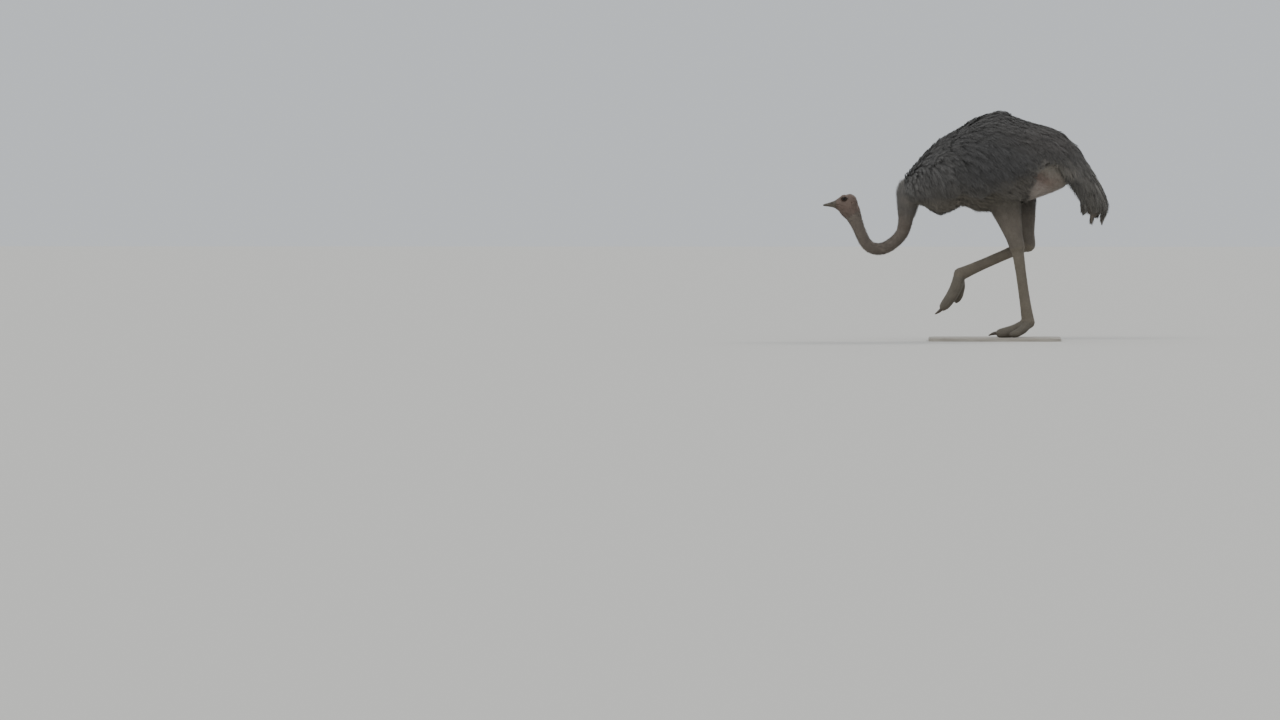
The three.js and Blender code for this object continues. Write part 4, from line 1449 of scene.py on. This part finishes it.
neckLine = np.array([  # middle of the neck from the head to the breast, X and Z
    (-0.860, 0.796), (-0.836, 0.758), (-0.816, 0.728), (-0.799, 0.688), (-0.785, 0.653), (-0.761, 0.596),
    (-0.744, 0.564), (-0.712, 0.536), (-0.667, 0.526), (-0.617, 0.540), (-0.562, 0.581), (-0.530, 0.623),
    (-0.517, 0.672), (-0.507, 0.738), (-0.485, 0.830), (-0.458, 0.915), (-0.440, 0.980),
])
headLine = np.array([(-0.94, 0.785), (-0.90, 0.795), (-0.865, 0.805), (-0.840, 0.780), (-0.820, 0.740)])


def lieAlong(line, points):
    near = 1 / np.maximum(gapsTo(line, points), 0.004) ** 4
    run = unit(np.gradient(line, axis=0))
    way = (near[..., None] * run[None]).sum(1)
    return unit(np.stack([way[:, 0], 0 * way[:, 0], way[:, 1]], 1))


def tuftMesh(name, roots, ups, ways, lengths, tint, uv, kind, rng):
    # small tufts: a few narrow blades that rise from one root and bend back along the lie
    count, blades = len(roots), kind["blades"]
    ways = unit(ways - ups * (ways * ups).sum(1, keepdims=True))
    sides = np.cross(ups, ways)
    turn = np.linspace(-1, 1, blades) * kind["splay"] + rng.normal(0, kind["stray"], (count, blades))
    way = ways[:, None] * np.cos(turn)[..., None] + sides[:, None] * np.sin(turn)[..., None]
    length = (lengths[:, None] * rng.uniform(0.7, 1.25, turn.shape))[..., None]
    rise = (kind["rise"] * rng.uniform(0.5, 1.5, turn.shape))[..., None]
    up = ups[:, None]
    base = roots[:, None] + rng.normal(0, kind["spread"], (count, blades, 3)) - up * kind["sunk"]
    mid = base + way * length * 0.45 + up * (length * rise + kind["sunk"])
    curl = rng.normal(0, kind["curl"], turn.shape)[..., None]
    tip = mid + way * length * 0.55 + up * length * (rise * 0.15 + curl)
    flat = np.cross(up, way) * (kind["bladeWidth"] * rng.uniform(0.7, 1.3, turn.shape))[..., None]
    grid, tris = bladeMesh(base, mid, tip, flat, 0.8)
    mesh = fillMesh(name, grid.reshape(-1, 3), tris)
    each = blades * 5
    along = np.tile(np.array([0, 0, 0.5, 0.5, 1.0]), count * blades)
    tone = np.repeat(rng.random((count, 1)) * 0.7 + rng.random((count, blades)) * 0.3, 5)
    paintPoints(mesh, tone=tone, along=along, edge=0.5, tint=np.repeat(tint, each, axis=0))
    across = np.tile(np.repeat(np.linspace(-0.4, 0.4, blades), 5), count)
    layUnwrap(mesh, np.repeat(uv, each, axis=0) + np.stack([along - 0.5, across], 1) * patchSize)
    return mesh


neckDown = {
    "count": 11000, "spacing": 0.0025, "seed": 21, "blades": 4, "splay": 0.42, "stray": 0.22, "rise": 0.17,
    "spread": 0.0012, "sunk": 0.0010, "curl": 0.05, "bladeWidth": 0.00042, "length": 0.0125,
}
headDown = {
    "count": 9000, "spacing": 0.0012, "seed": 22, "blades": 2, "splay": 0.16, "stray": 0.16, "rise": 0.12,
    "spread": 0.0004, "sunk": 0.0006, "curl": 0.03, "bladeWidth": 0.00016, "length": 0.0070,
}
flankDown = {
    "count": 14000, "spacing": 0.0040, "seed": 23, "blades": 4, "splay": 0.50, "stray": 0.30, "rise": 0.14,
    "spread": 0.0020, "sunk": 0.0010, "curl": 0.05, "bladeWidth": 0.00050, "length": 0.019,
}
lashes = {
    "count": 30, "seed": 24, "blades": 2, "splay": 0.06, "stray": 0.10, "rise": 0.10,
    "spread": 0.0003, "sunk": 0.0005, "curl": 0.16, "bladeWidth": 0.00026, "length": 0.0100,
}


def growTufts(name, surface, kind, wanted, dress, material):
    # dress gives the way, length, colour and place on the unwrap of each tuft
    rng = np.random.default_rng(kind["seed"])
    roots = scatter(surface, kind["count"], kind["spacing"], wanted, rng)
    places, ups = nearest(surface, roots)
    ways, lengths, tint, uv = dress(roots, rng)
    mesh = tuftMesh(name, places, ups, ways, lengths, tint, uv, kind, rng)
    addPiece(name, mesh, material)
    print("down:", len(mesh.polygons), "triangles of", name)


def growNeckDown(surface, material):
    def fromEye(points):
        return np.linalg.norm(points[:, [0, 2]] - eyeAt[[0, 2]], axis=1)

    def wanted(points):
        onNape = (farFrom(["head"], points) < 0.004) & (fromEye(points) > 0.052)
        onNape = onNape & (points[:, 2] < eyeAt[2] + 0.01)
        return ((farFrom(neckNodes, points) < 0.007) | onNape).astype(float)

    def dress(roots, rng):
        toBody = farFrom(bodyNodes, roots)
        longer = 1 + 2.2 * (1 - ease(0.0, 0.13, toBody))  # towards the body
        lengths = neckDown["length"] * longer * (0.38 + 0.62 * ease(0.05, 0.15, fromEye(roots)))
        head = np.array(skinColours["head"]) * 0.8
        tint = toward(head, neckColour(roots, toBody) * 0.94, ease(0.04, 0.12, fromEye(roots)))
        return lieAlong(neckLine, roots), lengths, tint, unwrapAlong(roots, neckLine, "neck")

    growTufts("down_neck", surface, neckDown, wanted, dress, material)


def growHeadDown(surface, material):
    def wanted(points):
        forward, side, up = headPlace(points)
        clear = (farFrom(["head"], points) < 0.004) & (forward < 0.050)
        clear = clear & (lidEllipse(forward, up, 0.0065) > 1)
        thin = 1 - 0.75 * ease(0.005, 0.030, forward) * ease(0.010, 0.020, side)  # few on the lores
        return clear * thin * (fromEar(forward, up) > 0.004)

    def dress(roots, rng):
        forward, _, up = headPlace(roots)
        lengths = headDown["length"] * (1 + 0.7 * ease(-0.02, -0.06, up) - 0.35 * ease(0.01, 0.04, forward))
        tint = np.tile(np.array(skinColours["head"]) * 0.72, (len(roots), 1))
        return lieAlong(headLine, roots), lengths, tint, unwrapAlong(roots, headLine, "head")

    growTufts("down_head", surface, headDown, wanted, dress, material)


def growFlankDown(surface, material):
    def onLeg(points):
        return farFrom(thighNodes, points) < 0.004

    def wanted(points):
        bare = ease(0.05, 0.6, bareFlank(points)) * ease(0.79, 0.82, points[:, 2])
        return np.where(onLeg(points), 0.9 * ease(0.60, 0.80, points[:, 2]), bare)

    def dress(roots, rng):
        tint = flankColour(roots + rng.normal(0, 0.012, (len(roots), 1)))
        shown = ease(0.2, 0.95, bareFlank(roots) + rng.normal(0, 0.12, len(roots)))
        tint = toward(1.3 * plumageColour(roots), tint, shown)
        # the thigh's down greyer and darker towards its top: partly the plumage's colour, partly painted
        # shade under the body
        thigh = 0.88 * toward(skinColours["shank"], plumageColour(roots), thighGreyAndShade(roots))
        leg = onLeg(roots)
        tint = toward(tint, thigh, leg)
        lengths = flankDown["length"] * rng.uniform(0.6, 1.3, len(roots))
        lengths = lengths * np.where(leg, 0.35 + 0.65 * ease(0.66, 0.82, roots[:, 2]), 1)
        ways = np.where(leg[:, None], [[0.10, 0.0, -0.99]], [[0.72, 0.0, -0.68]])
        return ways, lengths, tint, unwrapBody(roots)

    growTufts("down_flank", surface, flankDown, wanted, dress, material)


def growLashes(material):
    rng = np.random.default_rng(lashes["seed"])
    roots, ups, ways = [], [], []
    for sign in (-1, 1):
        for k in range(lashes["count"]):
            a = math.pi * (0.12 + 0.80 * (k + rng.random()) / lashes["count"])
            f, u = (lidOpening["long"] + 0.0015) * math.cos(a), (lidOpening["up"] + 0.0015) * math.sin(a)
            roots.append(onEyeball(f, u, sign, 1.08))
            ways.append(unit(np.array([-f * 14, sign * 0.75, 0.30])))
            ups.append(unit(np.array([-f * 12, sign * 0.9, 0.35 + 14 * u])))
    roots = np.array(roots)
    lengths = np.full(len(roots), lashes["length"])
    tint = np.tile(skinColours["lashes"], (len(roots), 1))
    uv = unwrapAlong(roots, headLine, "head")
    mesh = tuftMesh("lashes", roots, np.array(ups), np.array(ways), lengths, tint, uv, lashes, rng)
    addPiece("lashes", mesh, material)


setStage()
skin = makeSkin(skinMaterial())
makeEyes(eyeMaterial())
billMaterial = hornMaterial("billHorn", (0.104, 0.088, 0.064), (0.054, 0.044, 0.033))
makeHornPiece("bill_upper", billMaterial, shapeUpperBill)
makeHornPiece("bill_lower", billMaterial, shapeLowerBill)
clawMaterial = hornMaterial("clawHorn", (0.11, 0.085, 0.060), (0.045, 0.036, 0.028))
for clawNode in ("claw_left", "claw_right"):
    makeHornPiece(clawNode, clawMaterial)
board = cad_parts["stand_base"]
board.data.materials.clear()
board.data.materials.append(boardMaterial())

skinSurface = surfaceOf(skin.data)
downMaterial = plumageMaterial("down", 0.80, 1.25, 0.55)
growNeckDown(skinSurface, downMaterial)
growHeadDown(skinSurface, downMaterial)
growFlankDown(skinSurface, downMaterial)
growLashes(downMaterial)
growPlumage(skinSurface)
